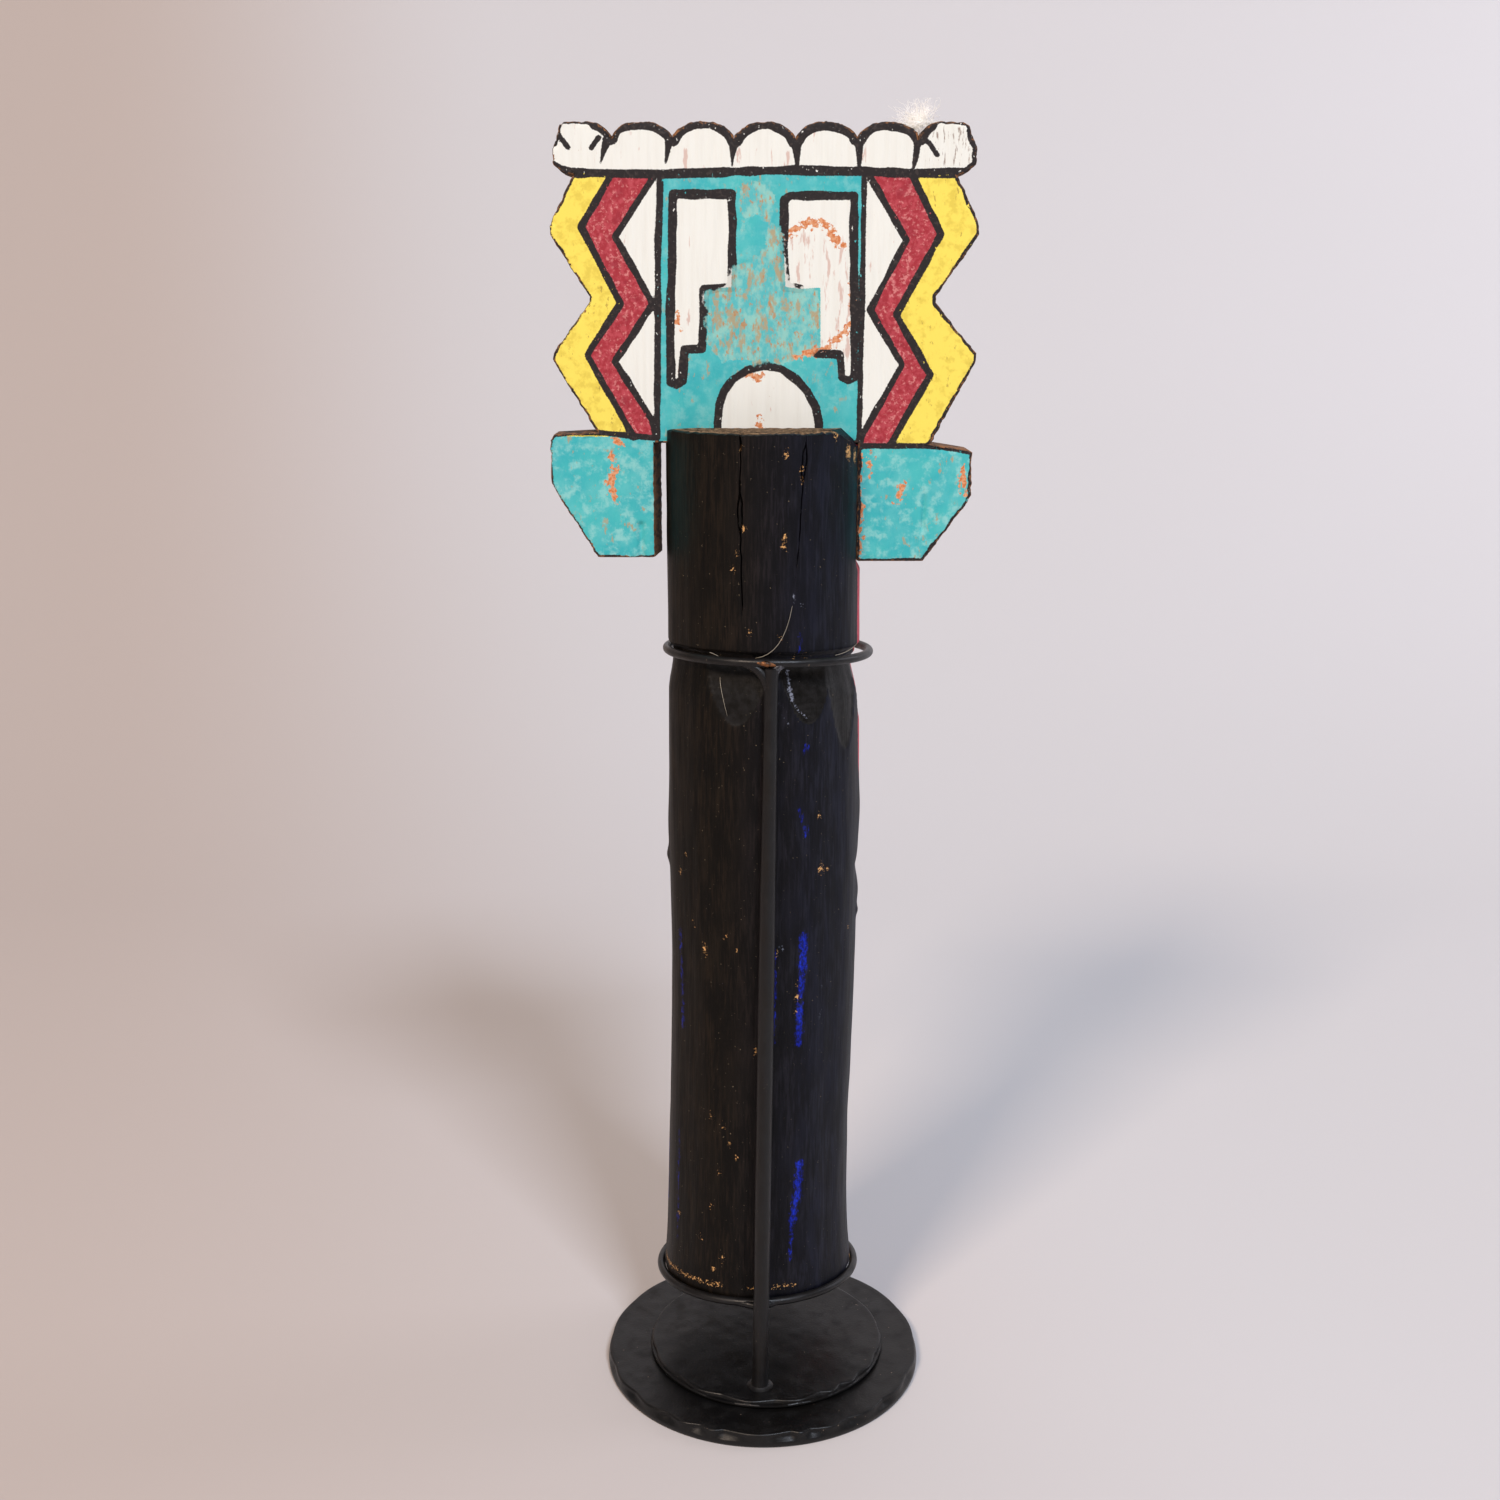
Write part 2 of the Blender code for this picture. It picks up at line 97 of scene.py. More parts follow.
def grid_faces(rows, columns, closed=False, start=0):
    """Quads between neighbouring rows and columns; a closed grid joins its last column to its first."""
    index = np.arange(rows * columns).reshape(rows, columns) + start
    if closed:
        index = np.hstack([index, index[:, :1]])
    corners = [index[:-1, :-1], index[:-1, 1:], index[1:, 1:], index[1:, :-1]]
    return np.stack(corners, axis=-1).reshape(-1, 4).tolist()


def fan(ring, centre):
    """Triangles from each edge of a closed ring of point numbers to one centre point."""
    return [(ring[i], ring[(i + 1) % len(ring)], centre) for i in range(len(ring))]


def add_piece(name, points, faces, material, node=None, fields=None, sharp=50.0):
    """Makes a mesh from points in metres, turns it outwards and hangs it on the frame."""
    mesh = bpy.data.meshes.new(name)
    mesh.from_pydata(np.asarray(points, float).reshape(-1, 3).tolist(), [], faces)
    shape = bmesh.new()
    shape.from_mesh(mesh)
    bmesh.ops.recalc_face_normals(shape, faces=shape.faces)
    shape.to_mesh(mesh)
    shape.free()
    for label, values in (fields or {}).items():
        layer = mesh.attributes.new(label, "FLOAT", "POINT")
        layer.data.foreach_set("value", np.asarray(values, np.float32).ravel())
    mesh.shade_smooth()
    mesh.set_sharp_from_angle(angle=math.radians(sharp))
    mesh.materials.append(material)
    piece = bpy.data.objects.new(name, mesh)
    bpy.context.scene.collection.objects.link(piece)
    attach(piece, "root")
    if node:
        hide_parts(node)
    print(f"{name}: {len(mesh.vertices)} points, {len(mesh.polygons)} faces")
    return piece


# %% [markdown]
# ## Shader tools
# A material is a small graph. One function adds a node with its settings and links. Two patterns are
# used again and again: soft noise whose cell is a real size in millimetres, and a ragged threshold that
# turns a smooth field into a patch with a broken edge, as paint breaks when it flakes.

# %% Shader tools
WORDS = {
    "lay": ("Mix", dict(data_type="RGBA"), (0, 6, 7), 2),
    "times": ("Math", dict(operation="MULTIPLY"), (0, 1), 0),
    "plus": ("Math", dict(operation="ADD"), (0, 1), 0),
    "less": ("Math", dict(operation="SUBTRACT"), (0, 1), 0),
    "times, plus": ("Math", dict(operation="MULTIPLY_ADD"), (0, 1, 2), 0),
    "rise": ("MapRange", dict(interpolation_type="SMOOTHSTEP"), (0, 1, 2), 0),
    "kept": ("Attribute", {}, (), 2),
}


def add(tree, kind, *values, out=0, **settings):
    """Adds one node and gives back one of its outputs.

    A word from the list above stands for a node with its usual settings, whose inputs take the values in
    order: "lay" puts a second colour over a first by a share, and "rise" climbs from 0 to 1 between two
    ends. For any other node the one value is a dictionary of its inputs. A colour is a hex code.
    """
    kind, usual, places, out = WORDS.get(kind, (kind, {}, None, out))
    node = tree.nodes.new("ShaderNode" + kind)
    for label, value in (usual | settings).items():
        setattr(node, label, value)
    inputs = dict(zip(places, values)) if places else dict(*values)
    for label, value in inputs.items():
        if isinstance(value, bpy.types.NodeSocket):
            tree.links.new(value, node.inputs[label])
        else:
            node.inputs[label].default_value = linear(value) if isinstance(value, str) else value
    return node.outputs[out]


def new_material(name):
    """A material with nothing but its principled shader, and its tree."""
    material = bpy.data.materials.new(name)
    material.use_nodes = True
    return material, material.node_tree


def finish(material, colour, rough, gloss=0.5, height=None, strength=0.5, depth=0.2):
    """Joins colour, roughness and gloss to the shader, and a height whose relief is so many mm deep."""
    tree = material.node_tree
    shader = tree.nodes["Principled BSDF"]
    tree.links.new(colour, shader.inputs["Base Color"])
    if isinstance(rough, float):
        shader.inputs["Roughness"].default_value = rough
    else:
        tree.links.new(rough, shader.inputs["Roughness"])
    shader.inputs["Specular IOR Level"].default_value = gloss
    if height:
        relief = add(tree, "Bump", {"Height": height, "Strength": strength, "Distance": depth * MM})
        tree.links.new(relief, shader.inputs["Normal"])
    return material


def speckle(tree, cell, stretch=(1.0, 1.0, 1.0), detail=3.0, shift=0.0, rough=0.55):
    """Noise in object space whose cells are so many millimetres across, stretched along each axis."""
    place = add(tree, "TexCoord", out="Object")
    scale = tuple(1.0 / (cell * MM * s) for s in stretch)
    spread = add(tree, "Mapping", {"Vector": place, "Scale": scale, "Location": (shift, shift, shift)})
    inputs = {"Vector": spread, "Scale": 1.0, "Detail": detail, "Roughness": rough}
    return add(tree, "TexNoise", inputs, out="Fac")


def patches(tree, cell, edge, soft, stretch=(1.0, 1.0, 1.0), shift=0.0, detail=4.0, rough=0.55, amount=1.0):
    """Speckle cut at an edge, with so soft a rim: patches where a second colour lies, by an amount."""
    patch = add(tree, "rise", speckle(tree, cell, stretch, detail, shift, rough), edge - soft, edge + soft)
    return add(tree, "times", patch, amount) if amount < 1.0 else patch


def ragged(tree, label, grit, edge, soft, reach=0.6, stretch=(1.0, 1.0, 1.0)):
    """A kept field plus noise of a grit in millimetres, cut at an edge: a patch with a broken rim."""
    wander = speckle(tree, grit, stretch, detail=4.0, rough=0.7)
    wander = add(tree, "times, plus", wander, reach, -0.5 * reach)
    moved = add(tree, "plus", add(tree, "kept", attribute_name=label), wander)
    return add(tree, "rise", moved, edge - soft, edge + soft)


# %% [markdown]
# ## Camera, floor and lamps
# The picture is taken from a little above, with a lens of 42 mm on a 36 mm frame. The floor is a roll of
# pale paper that curves up behind, so no horizon shows. Two soft lamps stand in front, a warm one on the
# left and a cool one on the right: each fills the other's shadow, which gives one bluish and one tan
# shadow.

# %% Camera, paper and lamps
CAMERA_PLACE = (-4.17 * MM, -513.8 * MM, 336.9 * MM)
CAMERA_DOWN = math.radians(14.28)
LENS = 42.0
lens = bpy.data.cameras.new("camera")
lens.lens = LENS
lens.sensor_width = 36.0
camera = bpy.data.objects.new("camera", lens)
camera.location = CAMERA_PLACE
camera.rotation_euler = (math.pi / 2.0 - CAMERA_DOWN, 0.0, 0.0)
bpy.context.scene.collection.objects.link(camera)
bpy.context.scene.camera = camera
bpy.context.scene.view_settings.view_transform = "Standard"


def paper_roll():
    """A profile carried sideways: flat, then a quarter circle of radius 1.1 m, then straight up."""
    turn = np.linspace(0.0, math.pi / 2.0, 48)
    radius, start, half = 1.1, 0.45, 3.0
    y = np.concatenate([[-2.0], start + radius * np.sin(turn), [start + radius]])
    z = np.concatenate([[0.0], radius * (1.0 - np.cos(turn)), [2.5]])
    points = [np.stack([np.full_like(y, side * half), y, z], axis=1) for side in (-1.0, 1.0)]
    return np.concatenate(points), grid_faces(2, len(y))


def paper():
    """Matt pale grey paper without gloss, with a painted warm shade that browns it towards its left front corner."""
    material, tree = new_material("seamless_paper")
    place = add(tree, "TexCoord", out="Object")
    x, y = (add(tree, "SeparateXYZ", {"Vector": place}, out=axis) for axis in "XY")
    # Painted shade: the paper is laid browner and darker towards its left front.
    behind = add(tree, "times", add(tree, "less", y, 1.0), 0.3)
    side = add(tree, "rise", add(tree, "plus", x, behind), -0.58, -0.1)
    unshaded_paper = add(tree, "lay", speckle(tree, 400.0, detail=1.0), "#D1D0D1", "#D3D2D4")
    return finish(material, add(tree, "lay", side, "#C2B6AF", unshaded_paper), 0.95, gloss=0.1)


def lamp(name, aim, toward, distance, size, colour, power):
    """A square lamp that stands a distance away from the place it is aimed at."""
    aim, toward = np.array(aim), np.array(toward) / np.linalg.norm(toward)
    light = bpy.data.lights.new(name, "AREA")
    light.size = size
    light.color = linear(colour)[:3]
    light.energy = power
    holder = bpy.data.objects.new(name, light)
    holder.location = aim + distance * toward
    holder.rotation_euler = mathutils.Vector(toward).to_track_quat("Z", "Y").to_euler()
    bpy.context.scene.collection.objects.link(holder)


points, faces = paper_roll()
sheet = bpy.data.meshes.new("paper_roll")
sheet.from_pydata(points.tolist(), [], faces)
sheet.materials.append(paper())
sheet.shade_smooth()
backdrop = bpy.data.objects.new("paper_roll", sheet)
bpy.context.scene.collection.objects.link(backdrop)
lamp("warm_lamp", (0.0, 0.0, 0.386), (-0.24, -0.416, 0.386), 4.0, 0.9, "#FFE8D4", 104.0)
lamp("cool_lamp", (0.0, 0.0, 0.386), (0.157, -0.352, 0.386), 4.0, 0.9, "#E8F0FF", 110.0)
lamp("paper_lamp", (0.35, 1.2, 0.3), (1.0, -0.45, 0.45), 1.7, 0.9, "#F4F4FF", 9.0)
world = bpy.data.worlds.new("room")
world.use_nodes = True
world.node_tree.nodes["Background"].inputs["Color"].default_value = linear("#F2EEF2")
world.node_tree.nodes["Background"].inputs["Strength"].default_value = 0.2
bpy.context.scene.world = world

# %% [markdown]
# ## Blackened iron
# Forged iron is heated, hammered and then blackened with oil or paint while warm. The skin is a satin
# black that is never one grey: it is browner where the scale is thin, dusty in the hollows, and pitted.
# It is not bare metal any more, so the shader stays dielectric and its gloss comes from roughness.

# %% Iron, braze and dust


def blackened_iron(name, tone, pit=0.6, dusty=0.5):
    """Oil-blackened forged iron: satin black with brown patches, fine pits and a little tan dust."""
    material, tree = new_material(name)
    skin = add(tree, "lay", patches(tree, 14.0, 0.55, 0.12), "#1A191B", "#1C1713")
    cloud = patches(tree, 5.0, 0.6, 0.15, shift=3.0, detail=5.0)
    skin = add(tree, "lay", tone, add(tree, "lay", cloud, skin, "#252425"), "#060606")
    flecks = patches(tree, 1.1, 0.745, 0.02, shift=7.0, detail=2.0, amount=dusty)
    dust = add(tree, "times", flecks, patches(tree, 16.0, 0.5, 0.1, shift=1.0, detail=2.0))
    skin = add(tree, "lay", dust, skin, "#A08C78")
    rough = add(tree, "MapRange", {"Value": cloud, "To Min": 0.36, "To Max": 0.55})
    height = add(tree, "plus", speckle(tree, pit, detail=4.0), speckle(tree, 3.0, detail=2.0))
    return finish(material, skin, rough, 0.36, height, strength=0.35, depth=0.12)


def brazing(name, bright, dark):
    """Filler metal that was melted into a joint: bright where it was wiped, dark with oxide elsewhere."""
    material, tree = new_material(name)
    tree.nodes["Principled BSDF"].inputs["Metallic"].default_value = 0.6
    colour = add(tree, "lay", patches(tree, 1.6, 0.5, 0.12), bright, dark)
    return finish(material, colour, 0.42, height=speckle(tree, 0.5), strength=0.4, depth=0.1)


disc_iron = blackened_iron("blackened_iron_disc", 0.85, pit=0.7, dusty=0.8)
wire_iron = blackened_iron("blackened_iron_wire", 0.6, pit=0.35, dusty=0.25)
bronze = brazing("brazing_bronze", "#8A5A36", "#2A2018")
silver = brazing("silver_solder", "#77787F", "#2B2B2E")

# %% [markdown]
# ## Hammered discs
# Each disc is a round blank whose rim was beaten down blow by blow. A blow leaves one short bevel, so
# the flat top ends in a row of shallow lobes that meet in cusps. The disc is a surface of angle and
# radius: the lobes set where the top breaks off, and low noise gives the dents of the hammer face.

# %% Discs
LOWER_DISC = dict(radius=50.8, thick=4.5, base=0.0, centre=0.0)
UPPER_DISC = dict(radius=38.0, thick=2.2, base=4.8, centre=1.2)
LOWER_CUSPS = (-165, -140, -119, -95, -74, -55, -36.4, -23.3, -14.1, 9.6, 16.9, 32, 49.3, 68, 92, 113, 141, 163)
UPPER_CUSPS = (-172, -150, -127.9, -100.4, -77, -50, -23.1, 3.4, 27.4, 39.4, 52.9, 72.5, 97.2, 125.9, 152)


def lobe_reach(angle, cusps):
    """0 at each cusp, 1 midway between two cusps: a mean of a parabola and a cosine of the way c from the middle."""
    corners = np.radians(np.array([cusps[-1] - 360.0, *cusps, cusps[0] + 360.0]))
    place = np.searchsorted(corners, angle, side="right") - 1
    low, high = corners[place], corners[place + 1]
    away = 2.0 * (angle - low) / (high - low) - 1.0
    return 0.4 * (1.0 - away ** 2) + 0.3 * (1.0 + np.cos(math.pi * away))


def hammered_disc(name, cusps, scallop, radius, thick, base, centre, material, node):
    """Rings of points from the middle of the top, over the lobed edge and down to the underside."""
    angle = np.linspace(-math.pi, math.pi, 540, endpoint=False)
    lobe = lobe_reach(angle, cusps)
    front = 0.25 + 0.75 * smoothstep(-0.2, 0.8, np.cos(angle))
    line = radius - 0.45 - scallop * front * (1.0 - lobe)
    top = base + thick
    drop = 0.24 * thick * (1.25 - 0.25 * lobe)
    rings = [(line * share, top + 0.0 * angle) for share in np.linspace(0.04, 0.965, 44)]
    rings += [(line - 0.5, top - 0.02 + 0.0 * angle), (line - 0.2, top - 0.05 - 0.06 * lobe)]
    rings += [(line, top - 0.16 - 0.1 * lobe), (line + 0.14, top - 0.34 - 0.3 * drop)]
    side = radius + 0.0 * angle
    rings += [(0.78 * line + 0.22 * side, top - 0.5 - drop), (side - 0.1, base + 0.45 * thick + 0.0 * angle)]
    rings += [(side, base + 0.3 * thick + 0.0 * angle), (side - 0.05, base + 0.12 * thick + 0.0 * angle)]
    rings += [(side - 0.4, base + 0.0 * angle), (side - 3.0, base + 0.0 * angle)]
    reach = np.array([r for r, _ in rings])
    z = np.array([h for _, h in rings])
    x = centre + reach * np.sin(angle)
    y = -reach * np.cos(angle)
    dent = 0.10 * noise(x / 9.0, y / 9.0, 3.0) + 0.05 * noise(x / 3.6, y / 3.6, 5.0)
    fade = smoothstep(radius, radius - 3.0, reach) * smoothstep(base + 0.5 * thick, top, z)
    z = z + (dent - 0.15) * fade
    points = np.stack([x, y, z], axis=-1).reshape(-1, 3)
    points = np.vstack([points, [(centre, 0.0, top - 0.15), (centre, 0.0, base)]])
    faces = grid_faces(len(rings), len(angle), closed=True)
    faces += fan(list(range(len(angle))), len(points) - 2)
    faces += fan(list(range(len(points) - 2 - len(angle), len(points) - 2)), len(points) - 1)
    add_piece(name, points * MM, faces, material, node, sharp=60.0)


hammered_disc("lower_disc_hammered", LOWER_CUSPS, 1.3, material=disc_iron, node="lower_disc", **LOWER_DISC)
hammered_disc("upper_disc_hammered", UPPER_CUSPS, 1.4, material=disc_iron, node="upper_disc", **UPPER_DISC)

# %% [markdown]
# ## Rod, ring and hoop
# These are drawn bars, bent cold. A bar is a circle carried along a path: at each point of the path the
# circle lies square to it. The joints are brazed, so the rod swells a little where it meets the wire,
# and the left arm of the hoop runs down into the rod in one bend.

# %% Bars
WIRE = 1.3
DISC_TOP = 7.0
RING_Z, RING_RISE, RING_SIDE = 30.0, 3.2, 0.5
RING_RADIUS = 31.73
HOOP_Z, HOOP_RISE, HOOP_SIDE = 235.93, 1.5, -0.5
FOOT_X, AXIS_Y = -1.75, 7.9


def carry_circle(path, radii, sides, closed=False):
    """Rings of a tube: centre plus radius times (cos t, sin t) in the plane square to the path."""
    path = np.asarray(path, float)
    if closed:
        ahead = np.roll(path, -1, axis=0) - np.roll(path, 1, axis=0)
    else:
        ahead = np.gradient(path, axis=0)
    ahead /= np.linalg.norm(ahead, axis=1)[:, None]
    steep = np.abs(ahead[:, 2:3]).mean() > 0.7
    guide = np.array([0.0, 1.0, 0.0]) if steep else np.array([0.0, 0.0, 1.0])
    across = np.cross(ahead, guide)
    across /= np.linalg.norm(across, axis=1)[:, None]
    lift = np.cross(across, ahead)
    turn = np.linspace(0.0, 2.0 * math.pi, sides, endpoint=False)
    radii = np.broadcast_to(np.asarray(radii, float), len(path))
    spoke = np.cos(turn)[None, :, None] * across[:, None, :] + np.sin(turn)[None, :, None] * lift[:, None, :]
    return path[:, None, :] + radii[:, None, None] * spoke


def bar(name, path, radii, material, node=None, sides=24, closed=False):
    """A bar along a path in millimetres, with rounded ends unless it closes on itself."""
    path = np.asarray(path, float)
    radii = np.broadcast_to(np.asarray(radii, float), len(path)).copy()
    if closed:
        rings = carry_circle(path, radii, sides, closed=True)
        rings = np.concatenate([rings, rings[:1]])
        faces = grid_faces(len(rings), sides, closed=True)
        count = len(path) * sides
        faces = [tuple(i % count for i in face) for face in faces]
        add_piece(name, rings[:-1].reshape(-1, 3) * MM, faces, material, node)
        return
    first, last = path[0] - path[1], path[-1] - path[-2]
    first, last = first / np.linalg.norm(first), last / np.linalg.norm(last)
    path = np.vstack([path[:1] + 0.12 * radii[0] * first, path, path[-1:] + 0.12 * radii[-1] * last])
    radii = np.concatenate([[0.75 * radii[0]], radii, [0.75 * radii[-1]]])
    rings = carry_circle(path, radii, sides)
    points = np.vstack([rings.reshape(-1, 3), path[:1], path[-1:]])
    faces = grid_faces(len(path), sides, closed=True)
    count = len(path) * sides
    faces += fan(list(range(sides)), count) + fan(list(range(count - sides, count)), count + 1)
    add_piece(name, points * MM, faces, material, node)


hoop_box = [np.array(corner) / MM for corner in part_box("top_hoop")]
HOOP_RADIUS = (hoop_box[1][0] - hoop_box[0][0]) / 2.0 - WIRE
HOOP_X = (hoop_box[1][0] + hoop_box[0][0]) / 2.0
rod_box = [np.array(corner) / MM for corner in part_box("rod")]
print(f"hoop: radius {HOOP_RADIUS:.2f} mm about x {HOOP_X:.2f} mm")


def hoop_point(angle):
    """A point of the hoop's path, counted from the front towards +X; the front stands a little high."""
    x = HOOP_X + HOOP_RADIUS * np.sin(angle)
    y = AXIS_Y - HOOP_RADIUS * np.cos(angle)
    return np.stack([x, y, HOOP_Z + HOOP_RISE * np.cos(angle) + HOOP_SIDE * np.sin(angle)], axis=-1)


around = np.linspace(0.0, 2.0 * math.pi, 160, endpoint=False)
ring_path = np.stack([
    FOOT_X + RING_RADIUS * np.sin(around),
    AXIS_Y - RING_RADIUS * np.cos(around),
    RING_Z + RING_RISE * np.cos(around) + RING_SIDE * np.sin(around),
], axis=1)
bar("foot_ring_wire", ring_path, WIRE, wire_iron, "foot_ring", closed=True)
bar("top_hoop_wire", hoop_point(np.radians(np.linspace(-116.0, 116.0, 120))), WIRE, wire_iron,
    "top_hoop")

ROD_FOOT = np.array([-1.0, rod_box[0][1] + 2.45, DISC_TOP + 0.3])
ROD_TOP = np.array([1.9, rod_box[1][1] - 2.0, HOOP_Z + HOOP_RISE - WIRE - 0.3])
share = np.linspace(0.0, 1.0, 90)
rod_path = ROD_FOOT + share[:, None] * (ROD_TOP - ROD_FOOT)
rod_radius = 2.45 - 0.45 * smoothstep(0.55, 1.0, share)
rod_radius = rod_radius + 0.35 * np.exp(-share * 228.0 / 1.4)
rod_radius = rod_radius + 0.04 * noise(share * 30.0, 0.0, 8.0)
bar("rod_bar", rod_path, rod_radius, wire_iron, "rod", sides=28)

# %% [markdown]
# A braze is a drop of bronze that creeps into the corner between two bars by itself and freezes with a
# hollow face. Each fillet here is a short tapered horn along a quarter of an ellipse, from one bar into
# the other, so the two bars seem to flow together.

# %% Brazed joints


def horn(name, start, corner, end, radii, material, sides=18):
    """A tapered bar along a curve that leaves start towards the corner and arrives at end."""
    t = np.linspace(0.0, 1.0, 20)[:, None]
    start, corner, end = (np.asarray(p, float) for p in (start, corner, end))
    path = (1.0 - t) ** 2 * start + 2.0 * t * (1.0 - t) * corner + t ** 2 * end
    size = np.interp(t[:, 0], (0.0, 0.5, 1.0), radii)
    bar(name, path, size, material, sides=sides)


joint = ROD_TOP + (0.0, 0.0, WIRE + 0.3)
toward = math.asin((1.9 - HOOP_X) / HOOP_RADIUS)
left_arm = hoop_point(toward - math.radians(17.0))
right_arm = hoop_point(toward + math.radians(8.0))
horn("left_bend", ROD_TOP - (0.35, 0.0, 9.0), joint - (0.7, -0.1, 1.1), left_arm, (1.75, 1.5, 1.25), wire_iron)
horn("right_braze", ROD_TOP - (-0.7, 0.0, 3.0), joint + (0.7, -0.25, -0.7), right_arm, (1.3, 1.3, 1.1), silver)
horn("bronze_drop", joint + (-4.2, -0.75, 0.25), joint + (-1.2, -1.05, 0.1), joint + (1.2, -0.9, -0.4),
     (0.3, 0.95, 0.4), bronze)
ring_front = ring_path[0]
for side in (-1.0, 1.0):
    beside = ring_path[round(side * 6) % len(ring_path)]
    rod_side = np.array([ROD_FOOT[0] + side * 1.2, ring_front[1] - 1.9, ring_front[2] - 0.4])
    horn(f"ring_braze_{'left' if side < 0 else 'right'}", rod_side, ring_front + (side * 2.6, -0.5, -0.3),
         beside + (0.0, -0.2, -0.2), (1.1, 1.2, 0.9), wire_iron)


def puddle():
    """The drop of weld round the rod's foot: radius falls as height rises, a hollow cone."""
    angle = np.linspace(0.0, 2.0 * math.pi, 48, endpoint=False)
    share = np.linspace(0.0, 1.0, 9)[:, None]
    uneven = 1.0 + 0.12 * noise(angle * 24.0 / math.pi / 4.0, 0.0, 4.0, around=12)
    radius = 2.3 + 1.7 * uneven * (1.0 - share) ** 2.2
    x = ROD_FOOT[0] + radius * np.sin(angle)
    y = ROD_FOOT[1] - radius * np.cos(angle)
    z = DISC_TOP - 0.1 + 1.5 * share + 0.0 * angle
    points = np.vstack([np.stack([x, y, z], axis=-1).reshape(-1, 3), [(ROD_FOOT[0], ROD_FOOT[1], DISC_TOP - 0.1)],
                        [(ROD_FOOT[0], ROD_FOOT[1], DISC_TOP + 1.4)]])
    faces = grid_faces(9, 48, closed=True) + fan(list(range(48)), 9 * 48)
    faces += fan(list(range(8 * 48, 9 * 48)), 9 * 48 + 1)
    add_piece("rod_foot_weld", points * MM, faces, wire_iron)


puddle()

# %% [markdown]
# ## The whittled stick
# The stick is a surface of angle and height. Its radius starts from the solid's: a flare at the foot, a
# faint belly, a neck cut in for the hoop and a flat on the right of the head. On top of that come the
# marks of the knife and of age: scoops under the hoop, knots, and drying cracks. Drying wood shrinks
# most round its rings, so it splits along the grain; the columns of the grid bend along each crack.

# %% Form of the stick
STICK_BASE, STICK_RIM, STICK_TOP, STICK_LENGTH = 28.53, 31.13, 302.33, 273.8
STICK_RADIUS, STICK_END_RADIUS = 28.95, 30.6
NECK_DEPTH, NECK_REACH, NECK_STEP = 1.5, 13.0, 1.6
SLOT_TOP, WING_HEIGHT, FLAT_REACH = 298.03, 34.0, 27.3
KERF_FLOOR, KERF_HALF = 297.73, 7.3
SCOOPS = (
    (-17.0, 19.0, 18.5), (27.0, 17.0, 17.5), (57.0, 16.0, 27.0), (93.0, 20.0, 21.0), (133.0, 18.0, 16.0),
    (171.0, 20.0, 23.0), (-151.0, 18.0, 17.0), (-113.0, 19.0, 20.0),
)
KNOTS = (
    (-88.0, 171.0, 0.8, 2.6, 2.4), (-88.0, 181.0, 0.35, 4.0, 8.0), (88.0, 186.0, 0.5, 5.0, 9.0),
    (88.0, 167.0, -0.8, 5.0, 3.2), (88.0, 159.0, 0.4, 4.0, 4.0), (86.0, 153.0, 0.6, 1.6, 1.6),
    (84.0, 84.0, -0.4, 5.0, 9.0), (150.0, 110.0, 0.8, 6.0, 7.0), (-140.0, 205.0, -0.6, 5.0, 6.0),
    (13.0, 272.0, 0.45, 2.0, 12.0), (-60.0, 120.0, -0.25, 7.0, 16.0), (44.0, 105.0, -0.3, 6.0, 18.0),
)


def ring_level(angle):
    """The ring droops behind, and so does the chamfered foot that sits in it."""
    return RING_RISE * np.cos(angle) + RING_SIDE * np.sin(angle)


def hoop_level(angle):
    """The hoop droops behind in the same way."""
    return HOOP_RISE * np.cos(angle) + HOOP_SIDE * np.sin(angle)


def axis_x(z):
    """The stick bows to the right in its lower third and leans back a little above."""
    t = (z - STICK_BASE) / STICK_LENGTH
    return FOOT_X + 1.75 * smoothstep(0.08, 0.42, t) - 0.25 * smoothstep(0.6, 0.9, t)


def crack_angle(z, which):
    """Degrees from the front at which a crack runs: a straight line of grain that wanders a little."""
    wander = noise(z / 9.0, which, 11.0) * 0.6 + noise(z / 2.7, which, 12.0) * 0.4
    start, lean = ((-13.8, 0.02), (23.6, -0.12))[which]
    return start + lean * (STICK_TOP - z) + wander


def crack_depth(angle, z, which):
    """Depth of a crack: a half round groove, which parts in two round a splinter where it is widest."""
    low, open_at, half, fork = ((243.0, 268.0, 0.26, 280.0), (250.0, 286.0, 0.22, 294.0))[which]
    off = np.abs(math.radians(29.0) * (np.degrees(angle) - crack_angle(z, which)))
    off = np.abs(off - 0.62 * np.exp(-((z - fork) / 4.5) ** 4))
    width = half * np.maximum(smoothstep(low, open_at, z) * (0.8 + 0.4 * noise(z / 3.3, which, 13.0)), 0.02)
    return 2.2 * np.sqrt(np.clip(1.0 - (off / width) ** 2, 0.0, 1.0)) * smoothstep(0.03, 0.12, width)


def scoop_depth(angle, z):
    """Each scoop is the bite of a flat gouge: a ramp that runs out downwards, less a parabola across."""
    down = HOOP_Z + hoop_level(angle) - WIRE - z
    deepest = np.zeros_like(z)
    for centre, half, length in SCOOPS:
        off = (np.degrees(angle) - centre + 180.0) % 360.0 - 180.0
        ramp = 1.15 * (1.0 - np.maximum(down, -1.0) / length) - 0.9 * (off / half) ** 2
        deepest = np.maximum(deepest, ramp + 0.35 * smoothstep(0.0, 0.08, ramp))
    return deepest * smoothstep(-1.6, 0.4, down)


